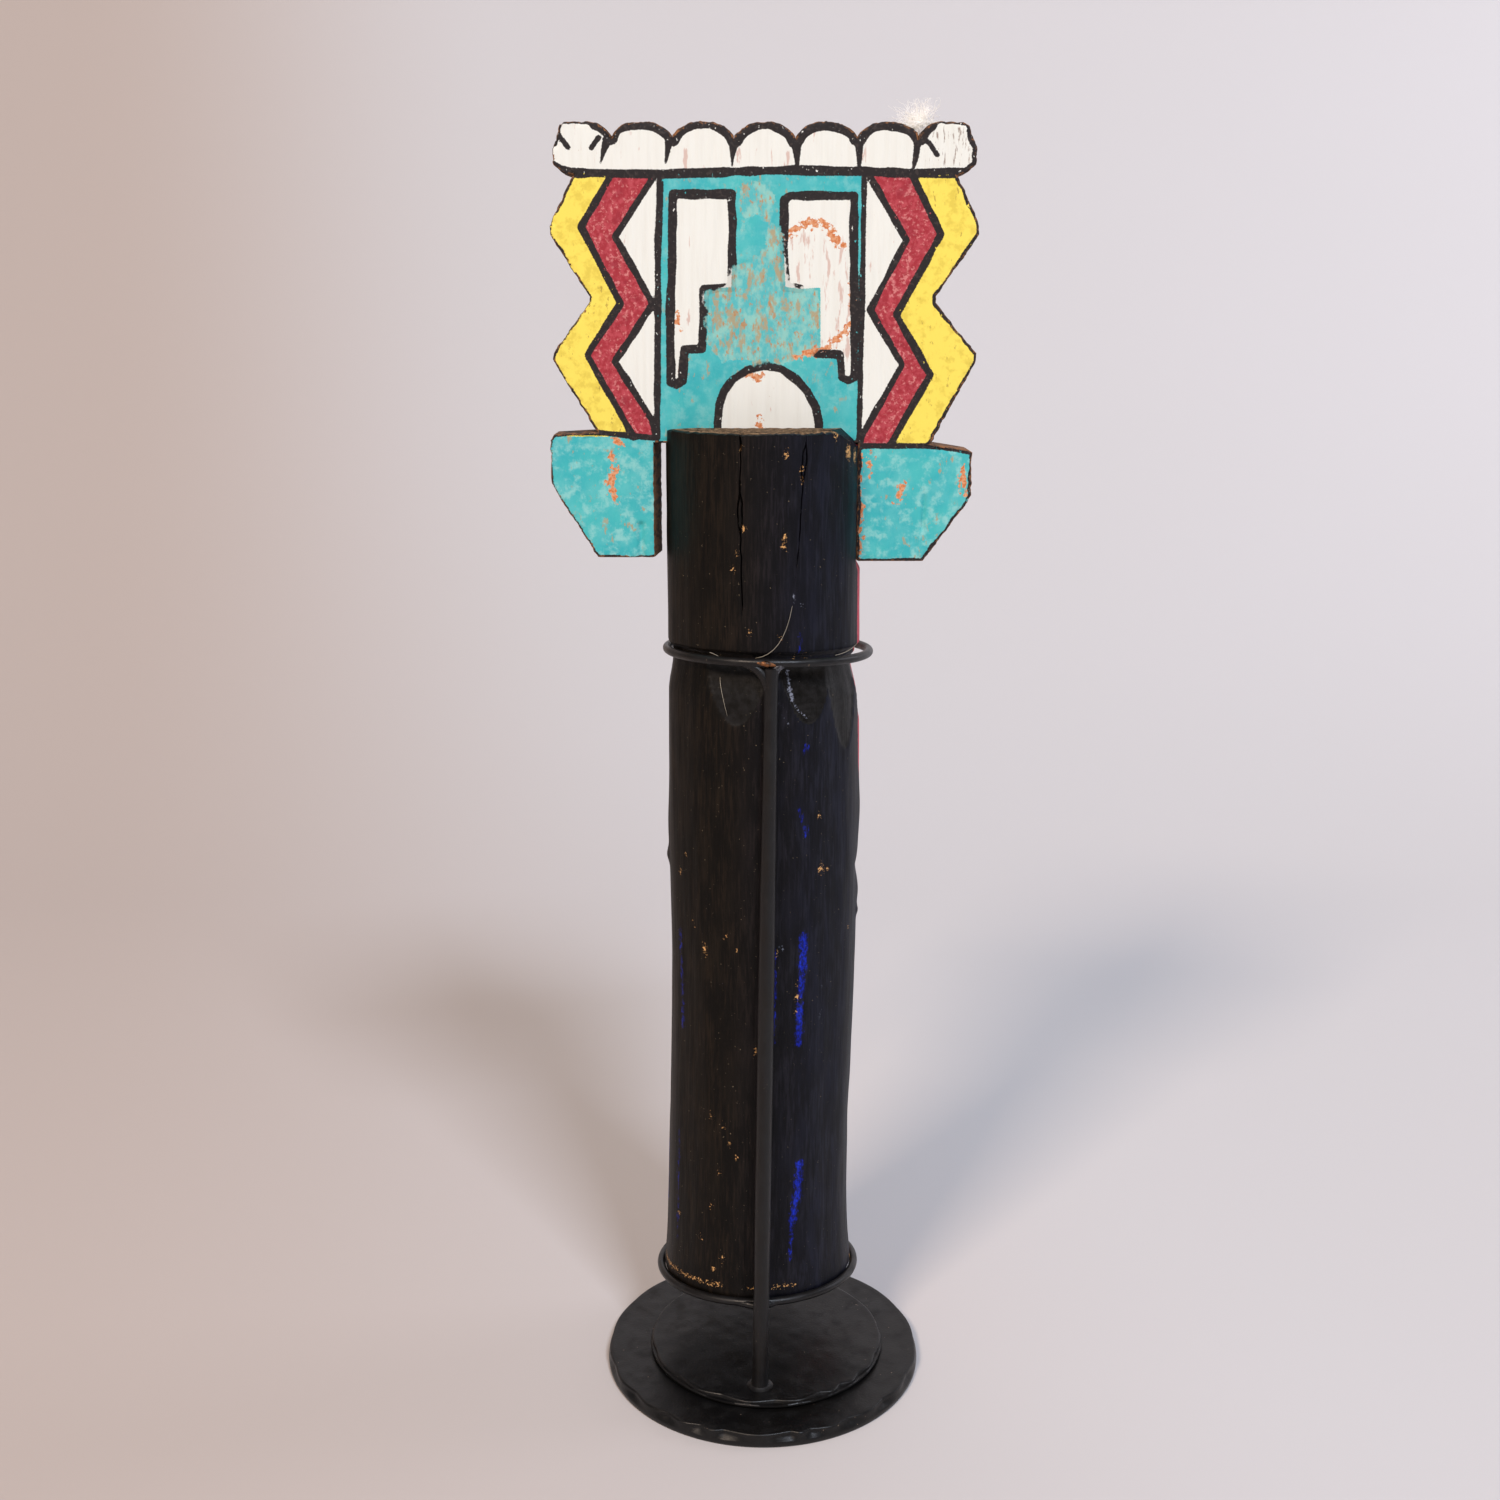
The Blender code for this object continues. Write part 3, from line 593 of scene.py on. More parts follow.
def stick_radius(angle, z):
    """Radius at an angle and a height, without the cracks."""
    above = z - HOOP_Z - hoop_level(angle)
    step_in = 1.0 - smoothstep(WIRE, WIRE + NECK_STEP, above)
    radius = STICK_RADIUS + (STICK_END_RADIUS - STICK_RADIUS) * np.exp(-(z - STICK_RIM) / 17.0)
    radius = radius + 0.5 * np.exp(-((z - STICK_BASE - 153.0) / 38.0) ** 2)
    radius = radius - NECK_DEPTH * step_in * smoothstep(-NECK_REACH, -WIRE, above)
    twist = 0.5 * math.pi * (z - STICK_BASE) / STICK_LENGTH
    radius = radius - 0.16 * (1.0 - np.cos(11 * angle + twist)) - scoop_depth(angle, z)
    flat = np.maximum(radius - FLAT_REACH / np.maximum(np.sin(angle), 0.1), 0.0)
    radius = radius - flat * smoothstep(SLOT_TOP - WING_HEIGHT - 4.0, SLOT_TOP - WING_HEIGHT, z)
    for turn, level, height, wide, tall in KNOTS:
        off = (np.degrees(angle) - turn + 180.0) % 360.0 - 180.0
        radius = radius + height * np.exp(-(math.radians(29.0) * off / wide) ** 2 - ((z - level) / tall) ** 2)
    arc = np.degrees(angle) / 360.0
    grain = 0.09 * noise(arc * 150.0, z / 16.0, 21.0, around=150)
    return radius + grain + 0.05 * noise(arc * 40.0, z / 9.0, 22.0, around=40)


# %% [markdown]
# The paint is one thin coat of black, brushed along the grain. Where it chipped, tan wood shows; where an
# older coat shows through, it is blue. Pale scrapes are partly scratches and partly painted highlights.
# These marks are kept on the points as smooth fields: a half in the field is the rim of the mark. The
# shader adds fine noise before it cuts the field, so the rims break up.

# %% Marks on the stick
CHIPS = (
    (-38.0, 148.0, 0.9), (-36.5, 146.0, 0.4), (35.0, 174.0, 0.8), (38.0, 173.5, 0.5), (41.0, 172.8, 0.4),
    (34.0, 190.0, 0.5), (20.5, 134.0, 0.8), (20.5, 138.0, 0.4), (20.0, 129.0, 0.4), (-47.0, 154.5, 0.5),
    (-60.0, 170.0, 0.5), (-54.0, 176.0, 0.4), (-23.0, 153.0, 0.4), (-17.0, 149.0, 0.3), (8.0, 148.0, 0.5),
    (-32.0, 93.0, 0.5), (-23.0, 91.0, 0.5), (-19.0, 85.0, 0.5), (-14.0, 81.0, 0.4), (-26.0, 75.0, 0.5),
    (-59.0, 55.5, 0.6), (-30.0, 63.0, 0.4), (-38.0, 51.0, 0.5), (-28.0, 42.0, 0.6), (-22.0, 46.0, 0.4),
    (-4.0, 117.0, 0.5), (86.0, 32.0, 1.1), (46.0, 301.6, 1.0), (57.0, 296.0, 1.4), (66.0, 294.6, 1.2),
    (-78.0, 300.0, 0.7), (-13.0, 298.0, 0.5), (-11.5, 275.5, 0.6), (-17.7, 264.0, 0.6), (-8.5, 246.0, 0.4),
    (9.5, 244.0, 0.4), (12.8, 296.4, 0.7), (11.8, 273.0, 0.8), (11.6, 270.5, 0.4), (21.5, 292.0, 0.5),
    (22.0, 289.0, 0.4), (-15.5, 268.5, 0.4), (24.0, 237.8, 0.6), (18.0, 238.0, 0.4), (63.0, 152.0, 0.4),
    (130.0, 92.0, 1.2), (-150.0, 180.0, 1.3), (170.0, 240.0, 1.0), (-110.0, 60.0, 1.0),
)
BLUE_STREAKS = (
    (21.4, 193.0, 23.5, 187.5, 0.35), (25.0, 187.0, 25.0, 185.0, 0.5), (24.0, 153.0, 24.0, 143.0, 1.3),
    (23.5, 143.0, 22.8, 134.0, 0.9), (22.4, 131.0, 22.4, 118.5, 1.1), (6.3, 149.0, 6.3, 120.0, 0.4),
    (25.8, 78.0, 24.8, 66.0, 1.2), (24.0, 66.0, 21.5, 58.0, 1.0), (21.0, 57.0, 20.3, 46.0, 0.5),
    (-61.5, 151.0, -60.0, 119.0, 0.5), (-61.0, 84.0, -61.0, 46.0, 0.3), (-87.0, 74.0, -87.0, 53.0, 0.8),
    (25.0, 213.0, 25.0, 210.5, 0.4), (21.0, 246.0, 21.0, 240.0, 0.2),
)
# Pale scrapes on the stick: partly real scratches, partly painted highlights set where the light glints on it.
SCRAPE_HIGHLIGHTS = (
    (15.0, 234.0, 15.4, 230.0, 0.35), (15.6, 229.5, 16.6, 225.5, 0.45), (17.4, 225.0, 20.0, 223.0, 0.15),
    (21.0, 222.4, 26.0, 220.2, 0.25), (20.0, 226.5, 27.0, 226.0, -0.1), (19.0, 231.0, 30.0, 230.4, -0.15),
    (22.0, 229.0, 31.0, 228.0, -0.2), (8.0, 225.5, 13.5, 222.5, -0.1), (9.5, 222.0, 15.0, 218.5, -0.1),
    (35.0, 139.0, 39.0, 134.0, -0.1), (38.0, 128.0, 36.0, 125.0, 0.0), (52.0, 141.0, 53.0, 136.0, -0.1),
    (-33.0, 138.5, -20.0, 137.4, -0.2), (17.0, 257.0, 17.6, 255.0, 0.1), (22.0, 254.0, 22.2, 253.0, 0.1),
    (-58.0, 292.0, -52.0, 291.6, 0.0), (54.0, 241.5, 56.5, 240.8, 0.1), (10.0, 150.5, 11.0, 149.5, 0.3),
)
FIELD_REACH = 4.0


def around_distance(angle, turn):
    """Millimetres round the stick from a turn given in degrees."""
    return math.radians(29.0) * ((np.degrees(angle) - turn + 180.0) % 360.0 - 180.0)


def mark(distance, size):
    """A field that is a half at the mark's rim and falls away over a few millimetres."""
    return np.clip(0.5 + (size - distance) / FIELD_REACH, 0.0, 1.0)


def streak_distance(angle, z, streak):
    """Distance to a short stroke between two places on the stick."""
    turn0, z0, turn1, z1, _ = streak
    along = np.clip((z - z0) / (z1 - z0), 0.0, 1.0)
    return np.hypot(around_distance(angle, turn0 + along * (turn1 - turn0)), z - (z0 + along * (z1 - z0)))


def stick_marks(angle, z, foot):
    """Fields of bare wood, blue, red, gloss and scrapes with painted highlights at every point of the stick."""
    bare = np.zeros_like(z)
    for turn, level, size in CHIPS:
        bare = np.maximum(bare, mark(np.hypot(around_distance(angle, turn), 0.6 * (z - level)), size - 0.3))
    scrape_highlight = np.zeros_like(z)
    for streak in SCRAPE_HIGHLIGHTS:
        scrape_highlight = np.maximum(scrape_highlight, mark(streak_distance(angle, z, streak), streak[4]))
    span = smoothstep(-92.0, -84.0, np.degrees(angle)) * (1.0 - smoothstep(-24.0, -14.0, np.degrees(angle)))
    rim_band = mark(np.abs(z - foot - 3.2), 0.3) * np.maximum(span, 0.93 * smoothstep(-14.0, -4.0, np.degrees(angle))
                                                              * (1.0 - smoothstep(22.0, 30.0, np.degrees(angle))))
    bare = np.maximum(bare, rim_band)
    blue = np.zeros_like(z)
    for streak in BLUE_STREAKS:
        blue = np.maximum(blue, mark(streak_distance(angle, z, streak), streak[4]))
    edge = 83.0 - 6.0 * smoothstep(236.0, 239.0, z) + 14.0 * smoothstep(205.0, 180.0, z)
    inside = np.minimum(around_distance(angle, edge), -around_distance(angle, 128.0))
    red = np.clip(0.5 + inside / FIELD_REACH, 0.0, 1.0)
    # The gloss field lowers the roughness and also lightens the paint in the scoops, most where they catch the light:
    # partly rubbed paint, partly a painted sheen.
    polished = 0.3 + 0.7 * np.exp(-((np.degrees(angle) - 22.0) / 17.0) ** 2)
    gloss = smoothstep(0.0, 0.3, scoop_depth(angle, z)) * polished
    return dict(bare=bare, blue=blue, red=red, gloss=gloss, scrape_highlight=scrape_highlight)


def black_paint():
    """Thin black paint on wood, brushed along the grain, with a painted warm tint on the left and navy on the right for
    the two lamps.
    """
    material, tree = new_material("brushed_black_paint")
    across = add(tree, "SeparateXYZ", {"Vector": add(tree, "TexCoord", out="Object")}, out="X")
    # Painted light: the left side is tinted warm and the right side navy, as the warm and cool lamps light them.
    right = add(tree, "rise", across, -14.0 * MM, 18.0 * MM)
    coat = add(tree, "lay", right, "#090705", "#0B0C13")
    swell = add(tree, "plus", speckle(tree, 5.0, (1.0, 1.0, 2.5), shift=2.0), 0.5)
    brushed = add(tree, "times", speckle(tree, 0.8, (1.0, 1.0, 13.0), detail=5.0, rough=0.7), swell)
    fine = add(tree, "rise", brushed, 0.43, 0.69)
    # The brush streaks and broad patches carry the same painted warm and navy lamp tint.
    streak = add(tree, "lay", right, "#231B13", "#1F212D")
    coat = add(tree, "lay", add(tree, "times", fine, 0.75), coat, streak)
    broad = patches(tree, 6.0, 0.55, 0.12, (1.0, 1.0, 4.0), 4.0, 5.0, amount=0.5)
    coat = add(tree, "lay", broad, coat, add(tree, "lay", right, "#19140E", "#161928"))
    # Lighter paint in the scoops by the gloss field: partly rubbed paint, partly a painted sheen.
    scuff_and_sheen = add(tree, "lay", patches(tree, 2.2, 0.5, 0.2, detail=5.0), "#11100E", "#201F1F")
    gloss = add(tree, "kept", attribute_name="gloss")
    coat = add(tree, "lay", add(tree, "rise", gloss, 0.06, 0.26), coat, scuff_and_sheen)
    fleck = patches(tree, 0.7, 0.75, 0.012, shift=9.0, detail=2.0, amount=0.8)
    coat = add(tree, "lay", fleck, coat, "#8E8068")
    # Pale bluish scrapes: partly scratches, partly painted highlights.
    scrape_highlight = add(tree, "times", ragged(tree, "scrape_highlight", 0.6, 0.52, 0.05, reach=0.9), 0.7)
    coat = add(tree, "lay", scrape_highlight, coat, "#8C93A4")
    blue = ragged(tree, "blue", 0.8, 0.55, 0.12, reach=1.2, stretch=(1.0, 1.0, 2.6))
    veil = patches(tree, 0.7, 0.5, 0.1, (1.0, 1.0, 1.4), 6.0, 3.0, amount=0.68)
    blue = add(tree, "times", blue, add(tree, "plus", veil, 0.2))
    coat = add(tree, "lay", blue, coat, add(tree, "lay", fine, "#0C209E", "#1634D0"))
    crimson = add(tree, "lay", speckle(tree, 1.5), "#B02A40", "#D8485A")
    coat = add(tree, "lay", ragged(tree, "red", 1.6, 0.5, 0.03, reach=0.8), coat, crimson)
    bare = ragged(tree, "bare", 0.7, 0.53, 0.03, reach=1.5)
    wood = add(tree, "lay", speckle(tree, 0.8, (1.0, 1.0, 5.0)), "#F0C080", "#B27E48")
    coat = add(tree, "lay", bare, coat, wood)
    rough = add(tree, "MapRange", {"Value": gloss, "To Min": 0.52, "To Max": 0.2})
    grain = speckle(tree, 0.45, (1.0, 1.0, 30.0), detail=4.0)
    chatter = add(tree, "times", speckle(tree, 1.4, (3.0, 3.0, 1.0), detail=3.0), gloss)
    relief = add(tree, "plus", grain, add(tree, "times", chatter, 2.2))
    relief = add(tree, "less", relief, bare)
    return finish(material, coat, rough, 0.15, relief, depth=0.18)


def end_grain():
    """Sawn end of the stick: dusty grey brown with growth rings and some old black paint."""
    material, tree = new_material("sawn_end_grain")
    centre = (-axis_x(STICK_TOP) * MM, -AXIS_Y * MM, 0.0)
    spread = add(tree, "Mapping", {"Vector": add(tree, "TexCoord", out="Object"), "Location": centre})
    rings = add(tree, "TexWave", {"Vector": spread, "Scale": 90.0, "Distortion": 2.0, "Detail": 2.0},
                out="Fac", wave_type="RINGS", rings_direction="Z")
    wood = add(tree, "lay", rings, "#66503C", "#A08263")
    grime = patches(tree, 1.1, 0.5, 0.07, detail=5.0, rough=0.75, amount=0.85)
    wood = add(tree, "lay", grime, wood, "#231A13")
    return finish(material, wood, 0.85, 0.1, speckle(tree, 0.7, detail=4.0), strength=0.9, depth=0.5)


stick_paint = black_paint()
sawn_wood = end_grain()

# %% Build the stick
HEAD_FOOT = HOOP_Z + 5.0
COLUMN_KNOTS = (0, 96, 116, 138, 158, 252)
CRACK_BAND = 2.2
FOOT_ROUND = ((2.4, 2.35), (0.3, 1.0), (0.15, 0.5))


def stick_columns(z):
    """Angles of one row: even, but crowded in a narrow band that follows each crack."""
    first, second = crack_angle(z, 0), crack_angle(z, 1)
    turns = (-180.0, first - CRACK_BAND, first + CRACK_BAND, second - CRACK_BAND, second + CRACK_BAND, 180.0)
    return np.radians(np.interp(np.arange(COLUMN_KNOTS[-1]), COLUMN_KNOTS, turns))


def build_stick():
    """Rows of the stick from the chamfered foot to the sawn end, ready for the kerf to be cut."""
    levels = np.concatenate([
        np.linspace(STICK_RIM, 205.0, 190), np.linspace(205.0, HEAD_FOOT, 72)[1:],
        np.linspace(HEAD_FOOT, STICK_TOP - 0.5, 108)[1:],
    ])
    angle = np.array([stick_columns(z) for z in levels])
    z = levels[:, None] + 0.0 * angle
    radius = stick_radius(angle, z)
    for which in (0, 1):
        radius = radius - crack_depth(angle, z, which)
    seat = ring_level(angle)
    height = z + seat * (1.0 - smoothstep(STICK_RIM, STICK_RIM + 60.0, z))
    degrees = np.degrees(angle[-1])
    chip = 4.2 * smoothstep(44.0, 70.0, degrees) * (1.0 - smoothstep(92.0, 104.0, degrees))
    ragged_top = 0.45 * np.abs(noise(degrees / 4.0, 0.0, 31.0, around=90)) + 0.3 * np.abs(noise(degrees / 1.5, 0.0, 32.0))
    crest = STICK_TOP - 0.5 - chip * (1.0 + 0.15 * noise(degrees / 5.0, 0.0, 33.0)) - ragged_top
    squeeze = smoothstep(STICK_TOP - 12.0, STICK_TOP - 0.5, z)
    height = height - squeeze * (STICK_TOP - 0.5 - crest)
    radius = radius + 0.25 * np.exp(-(z - STICK_RIM) / 6.0)
    radius[0] = np.clip(radius[0], STICK_END_RADIUS - 0.15, STICK_END_RADIUS + 0.05)
    rows = [(radius[0] - depth_in, height[0] - below) for depth_in, below in FOOT_ROUND]
    rows += list(zip(radius, height))
    rows += [(radius[-1] - 0.45, crest + 0.2), (radius[-1] - 1.2, crest + 0.32 + 0.35 * chip)]
    turns = np.vstack([angle[:1]] * len(FOOT_ROUND) + [angle, angle[-1:], angle[-1:]])
    for share in (0.86, 0.7, 0.5, 0.3, 0.12):
        rough_end = 0.25 * np.abs(noise(radius[-1] * share * np.sin(angle[-1]) / 1.8, radius[-1] * share * np.cos(angle[-1]) / 1.8, 34.0))
        rows.append(((radius[-1] - 1.2) * share, STICK_TOP - rough_end - 0.02))
        turns = np.vstack([turns, angle[-1:]])
    reach = np.array([r for r, _ in rows])
    up = np.array([h for _, h in rows])
    middle = axis_x(np.clip(up, STICK_RIM, STICK_TOP))
    points = np.stack([middle + reach * np.sin(turns), AXIS_Y - reach * np.cos(turns), up], axis=-1)
    count = COLUMN_KNOTS[-1]
    points = np.vstack([points.reshape(-1, 3), [(FOOT_X, AXIS_Y, STICK_BASE)],
                        [(axis_x(STICK_TOP), AXIS_Y, STICK_TOP - 0.1)]])
    faces = grid_faces(len(rows), count, closed=True)
    faces += fan(list(range(count)), len(points) - 2)
    faces += fan(list(range(len(points) - 2 - count, len(points) - 2)), len(points) - 1)
    marks = stick_marks(turns, up, STICK_RIM + ring_level(turns) - 0.2)
    marks = {label: np.append(field.ravel(), [0.0, 0.0]) for label, field in marks.items()}
    piece = add_piece("stick_whittled", points * MM, faces, stick_paint, "stick", marks, 60.0)
    piece.data.materials.append(sawn_wood)
    first_end = (len(rows) - 6) * count
    material = np.zeros(len(piece.data.polygons), np.int32)
    material[first_end:(len(rows) - 1) * count] = 1
    material[first_end:first_end + count] = chip < 0.8
    material[-count:] = 1
    piece.data.polygons.foreach_set("material_index", material)
    return piece


def cut_kerf(piece):
    """A saw kerf across the end, made by taking a box away from the stick."""
    half, tall = 40.0 * MM, 20.0 * MM
    low, high = (AXIS_Y - KERF_HALF) * MM, (AXIS_Y + KERF_HALF) * MM
    floor = KERF_FLOOR * MM
    corners = [(x, y, z) for x in (-half, half) for y in (low, high) for z in (floor, floor + tall)]
    faces = [(0, 1, 3, 2), (4, 6, 7, 5), (0, 4, 5, 1), (2, 3, 7, 6), (0, 2, 6, 4), (1, 5, 7, 3)]
    mesh = bpy.data.meshes.new("saw_cut")
    mesh.from_pydata(corners, [], faces)
    mesh.materials.append(sawn_wood)
    saw = bpy.data.objects.new("saw_cut", mesh)
    bpy.context.scene.collection.objects.link(saw)
    cut = piece.modifiers.new("kerf", "BOOLEAN")
    cut.object, cut.solver, cut.material_mode = saw, "EXACT", "TRANSFER"
    ready = piece.evaluated_get(bpy.context.evaluated_depsgraph_get())
    whole = piece.data
    piece.data = bpy.data.meshes.new_from_object(ready)
    piece.modifiers.clear()
    bpy.data.objects.remove(saw)
    bpy.data.meshes.remove(whole)
    print("kerf cut:", len(piece.data.polygons), "faces,", [m.name for m in piece.data.materials])


cut_kerf(build_stick())

# %% [markdown]
# ## The painted board
# The board is one sawn plank. Its painted face is a ruled grid: each row runs from the left edge to the
# left wall of the slot, on to the right wall and out to the right edge. Both edges are walked in step, so
# every corner of the zigzag gets its own row. The last rows are lifted to the scalloped top. The edge of
# the face is then carried round and back to the other side, as the saw would follow it.

# %% Outline of the board
BOARD_FRONT, BOARD_BACK = 0.9, 14.9
BAND_BASE, BAND_HEIGHT, BOARD_TOP = 372.03, 14.5, 386.53
PANEL_HALF_WIDTH, BAND_HALF_WIDTH, LOBES, END_LOBE, LOBE_RISE = 54.3, 59.6, 7, 13.4, 4.6
TOOTH_OUT, TOOTH_IN, TOOTH_PITCH, BLUNT, FIRST_DROP, NOTCH_DROP = 61.0, 50.2, 35.0, 1.1, 14.8, 19.0
WING_OUT, WING_FOOT_X, WING_SIDE, HAND_SLIP = 61.6, 48.2, 13.5, 1.9
EASE, CELL = 0.45, 0.5
board_box = [np.array(corner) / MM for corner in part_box("tablita")]


def side_corners(side):
    """Corners of one side from the wall of the slot round the wing and up to the end of the band."""
    slip = side * HAND_SLIP
    wall = axis_x(SLOT_TOP) + (FLAT_REACH + 0.4 if side > 0 else -31.37)
    bottom, top = SLOT_TOP - WING_HEIGHT - 0.3 * slip, SLOT_TOP - 0.9 * slip
    out = side * WING_OUT - 0.4 * slip * side
    corners = [
        (wall, SLOT_TOP), (wall, bottom + 0.4 * BLUNT), (wall + side * BLUNT, bottom),
        (side * WING_FOOT_X - 0.6 * slip * side, bottom),
        (out - side * BLUNT, top - WING_SIDE - 2.0 * BLUNT), (out, top - WING_SIDE), (out, top - BLUNT),
        (out - side * BLUNT, top - 0.3 * slip), (side * (TOOTH_IN - BLUNT) - 0.4 * slip, top + BLUNT),
    ]
    notch_x = side * TOOTH_IN - (0.6 * HAND_SLIP if side > 0 else 0.0)
    tips = [BAND_BASE - FIRST_DROP - tooth * TOOTH_PITCH for tooth in (1, 0)]
    notch = BAND_BASE - FIRST_DROP - NOTCH_DROP
    corners += [(side * TOOTH_OUT, tips[0] + lift) for lift in (-BLUNT, BLUNT)]
    corners += [(notch_x, notch + lift) for lift in (-0.8 * BLUNT, 0.8 * BLUNT)]
    corners += [(side * TOOTH_OUT, tips[1] + lift) for lift in (-BLUNT, BLUNT)]
    corners += [(side * PANEL_HALF_WIDTH, BAND_BASE)]
    shape = ((0.96, 0.06), (1.0, 0.2), (1.0, 0.5), (0.975, 0.76), (0.965, 0.93))
    return corners + [(side * BAND_HALF_WIDTH * a, BAND_BASE + BAND_HEIGHT * u) for a, u in shape]


def lobe_edges():
    """Where the lobes of the scalloped top meet; the two end lobes are narrower."""
    end = 0.95 * BAND_HALF_WIDTH
    return np.array([-end, *np.linspace(END_LOBE - end, end - END_LOBE, LOBES - 1), end])


def band_top(x):
    """Height of the scalloped top: each lobe is a flattened arc, and the outer halves run level."""
    edges = lobe_edges()
    place = np.clip(np.searchsorted(edges, x) - 1, 0, LOBES - 1)
    low, high = edges[place], edges[place + 1]
    across = np.clip(np.abs(2.0 * (x - low) / (high - low) - 1.0), 0.0, 1.0)
    outer = ((place == 0) & (x < (low + high) / 2.0)) | ((place == LOBES - 1) & (x > (low + high) / 2.0))
    across = np.where(outer, 0.0, across)
    return BOARD_TOP - LOBE_RISE * (1.0 - (1.0 - across ** 2.4) ** 0.7)


def inset(outline, amount):
    """Moves each corner of a clockwise outline inwards, square to the mean of its two edges."""
    before = outline - np.roll(outline, 1, axis=0)
    after = np.roll(outline, -1, axis=0) - outline
    along = before / np.linalg.norm(before, axis=1)[:, None] + after / np.linalg.norm(after, axis=1)[:, None]
    along /= np.linalg.norm(along, axis=1)[:, None]
    return outline + amount * np.stack([along[:, 1], -along[:, 0]], axis=1)


lobe_x = np.unique(np.concatenate([np.linspace(a, b, 24) for a, b in zip(lobe_edges()[:-1], lobe_edges()[1:])]))
left_side, right_side = side_corners(-1), side_corners(1)
outline = np.array(left_side + list(zip(lobe_x, band_top(lobe_x))) + right_side[::-1])
face_line = inset(outline, EASE)
left_edge, right_edge = face_line[3:len(left_side)], face_line[::-1][3:len(right_side)]
LEFT_WALL, RIGHT_WALL, SLOT_FACE = face_line[0][0] - 0.9, face_line[-1][0], face_line[0][1]
WING_CORNER = 4
print(f"outline {np.ptp(outline[:, 0]):.1f} by {np.ptp(outline[:, 1]):.1f} mm; solid {board_box[1] - board_box[0]}")

# %% [markdown]
# The painting was measured on the face in millimetres. A brush stroke is a line with half a width: its
# field is that half width less the distance to the line, so it is positive inside the stroke. A painted
# shape is a polygon with a signed distance. The shader cuts all of them at zero with a little hair of
# noise, as a brush does on bare wood, and lays them in the painter's order: grounds, then black lines.

# %% The painting in millimetres
LEFT_FIGURE = (
    (-25.7, 366.9), (-9.4, 366.9), (-9.1, 359.1), (-9.5, 341.7), (-17.2, 341.2), (-17.6, 332.6),
    (-17.9, 324.6), (-23.1, 324.5), (-23.6, 315.7), (-25.3, 314.5), (-27.0, 315.3), (-27.0, 331.7),
    (-26.4, 350.0), (-25.7, 366.9),
)
RIGHT_FIGURE = (
    (10.1, 341.2), (5.9, 341.8), (5.4, 353.7), (5.6, 365.4), (7.3, 366.5), (25.1, 366.5), (25.5, 344.6),
    (25.8, 331.7), (25.9, 316.6), (24.2, 315.7), (22.3, 316.6), (21.7, 322.9), (14.8, 323.3),
)
HALF_DISC = (
    (-13.6, 295.0), (-13.6, 303.7), (-13.1, 308.8), (-11.7, 312.6), (-9.0, 316.0), (-5.1, 318.7), (0.1, 320.0),
    (4.9, 318.9), (9.3, 316.0), (12.4, 312.6), (14.9, 308.3), (15.8, 303.6), (15.8, 295.0),
)
LEFT_YELLOW_RED = ((-43.6, 371.4), (-51.9, 358.2), (-41.2, 337.2), (-51.0, 322.9), (-38.0, 299.6))
LEFT_RED_WHITE = ((-31.4, 371.4), (-42.3, 355.5), (-31.9, 337.2), (-43.0, 321.0), (-32.6, 304.5), (-31.6, 299.5))
RIGHT_RED_WHITE = ((29.5, 371.7), (40.1, 354.6), (30.1, 335.4), (39.7, 320.1), (28.7, 300.7), (27.6, 297.5))
RIGHT_YELLOW_RED = ((41.6, 371.7), (49.9, 356.2), (37.7, 334.0), (47.8, 317.3), (36.7, 297.6))
LEFT_PANEL = ((-29.4, 372.3), (-30.3, 350.0), (-31.2, 299.6))
RIGHT_PANEL = ((27.9, 372.3), (27.9, 340.9), (27.5, 297.5))
UNDERLINE = (
    (-59.5, 374.6), (-57.8, 373.4), (-54.6, 372.7), (-29.4, 372.3), (-8.8, 373.0), (8.9, 373.4), (26.2, 373.1),
    (41.6, 372.5), (59.5, 372.7),
)
LEFT_WING_TOP = ((-61.5, 300.9), (-48.2, 300.9), (-31.3, 299.3))
RIGHT_WING_TOP = ((27.8, 297.1), (47.7, 297.1), (60.5, 295.4))
STROKES = (
    (1.2, LEFT_FIGURE), (1.15, RIGHT_FIGURE), (1.15, HALF_DISC), (0.95, LEFT_YELLOW_RED), (0.95, LEFT_RED_WHITE),
    (0.9, RIGHT_RED_WHITE), (1.0, RIGHT_YELLOW_RED), (0.95, LEFT_PANEL), (0.75, RIGHT_PANEL), (1.2, UNDERLINE),
    (0.8, LEFT_WING_TOP), (0.8, RIGHT_WING_TOP), (0.7, ((-57.6, 382.8), (-55.1, 379.6))),
    (0.7, ((-46.4, 382.1), (-48.6, 379.4))), (0.6, ((45.1, 381.6), (48.3, 377.5))),
)
DIVIDERS = (
    ((-43.7, 382.6), (-46.1, 375.2)), ((-26.7, 381.8), (-27.8, 375.2)), ((-8.8, 382.0), (-9.2, 374.5)),
    ((8.8, 382.0), (9.1, 374.0)), ((26.2, 382.0), (26.4, 373.8)), ((42.9, 382.0), (41.7, 373.8)),
)
WORN_CENTRE = (
    (-16.8, 340.2), (-12.0, 341.5), (-9.3, 347.6), (-3.2, 349.4), (0.5, 352.5), (1.0, 358.5), (4.6, 358.4),
    (5.6, 350.0), (6.2, 344.6), (9.0, 342.4), (15.7, 340.9), (15.9, 324.3), (12.0, 322.6), (4.5, 319.9),
    (-3.2, 319.9), (-6.0, 321.5), (-12.8, 321.0), (-15.8, 325.5), (-16.9, 333.0),
)
WORN_TOP = ((-7.4, 371.0), (1.5, 371.0), (3.4, 365.4), (1.5, 358.0), (-3.2, 361.0), (-7.2, 355.5))
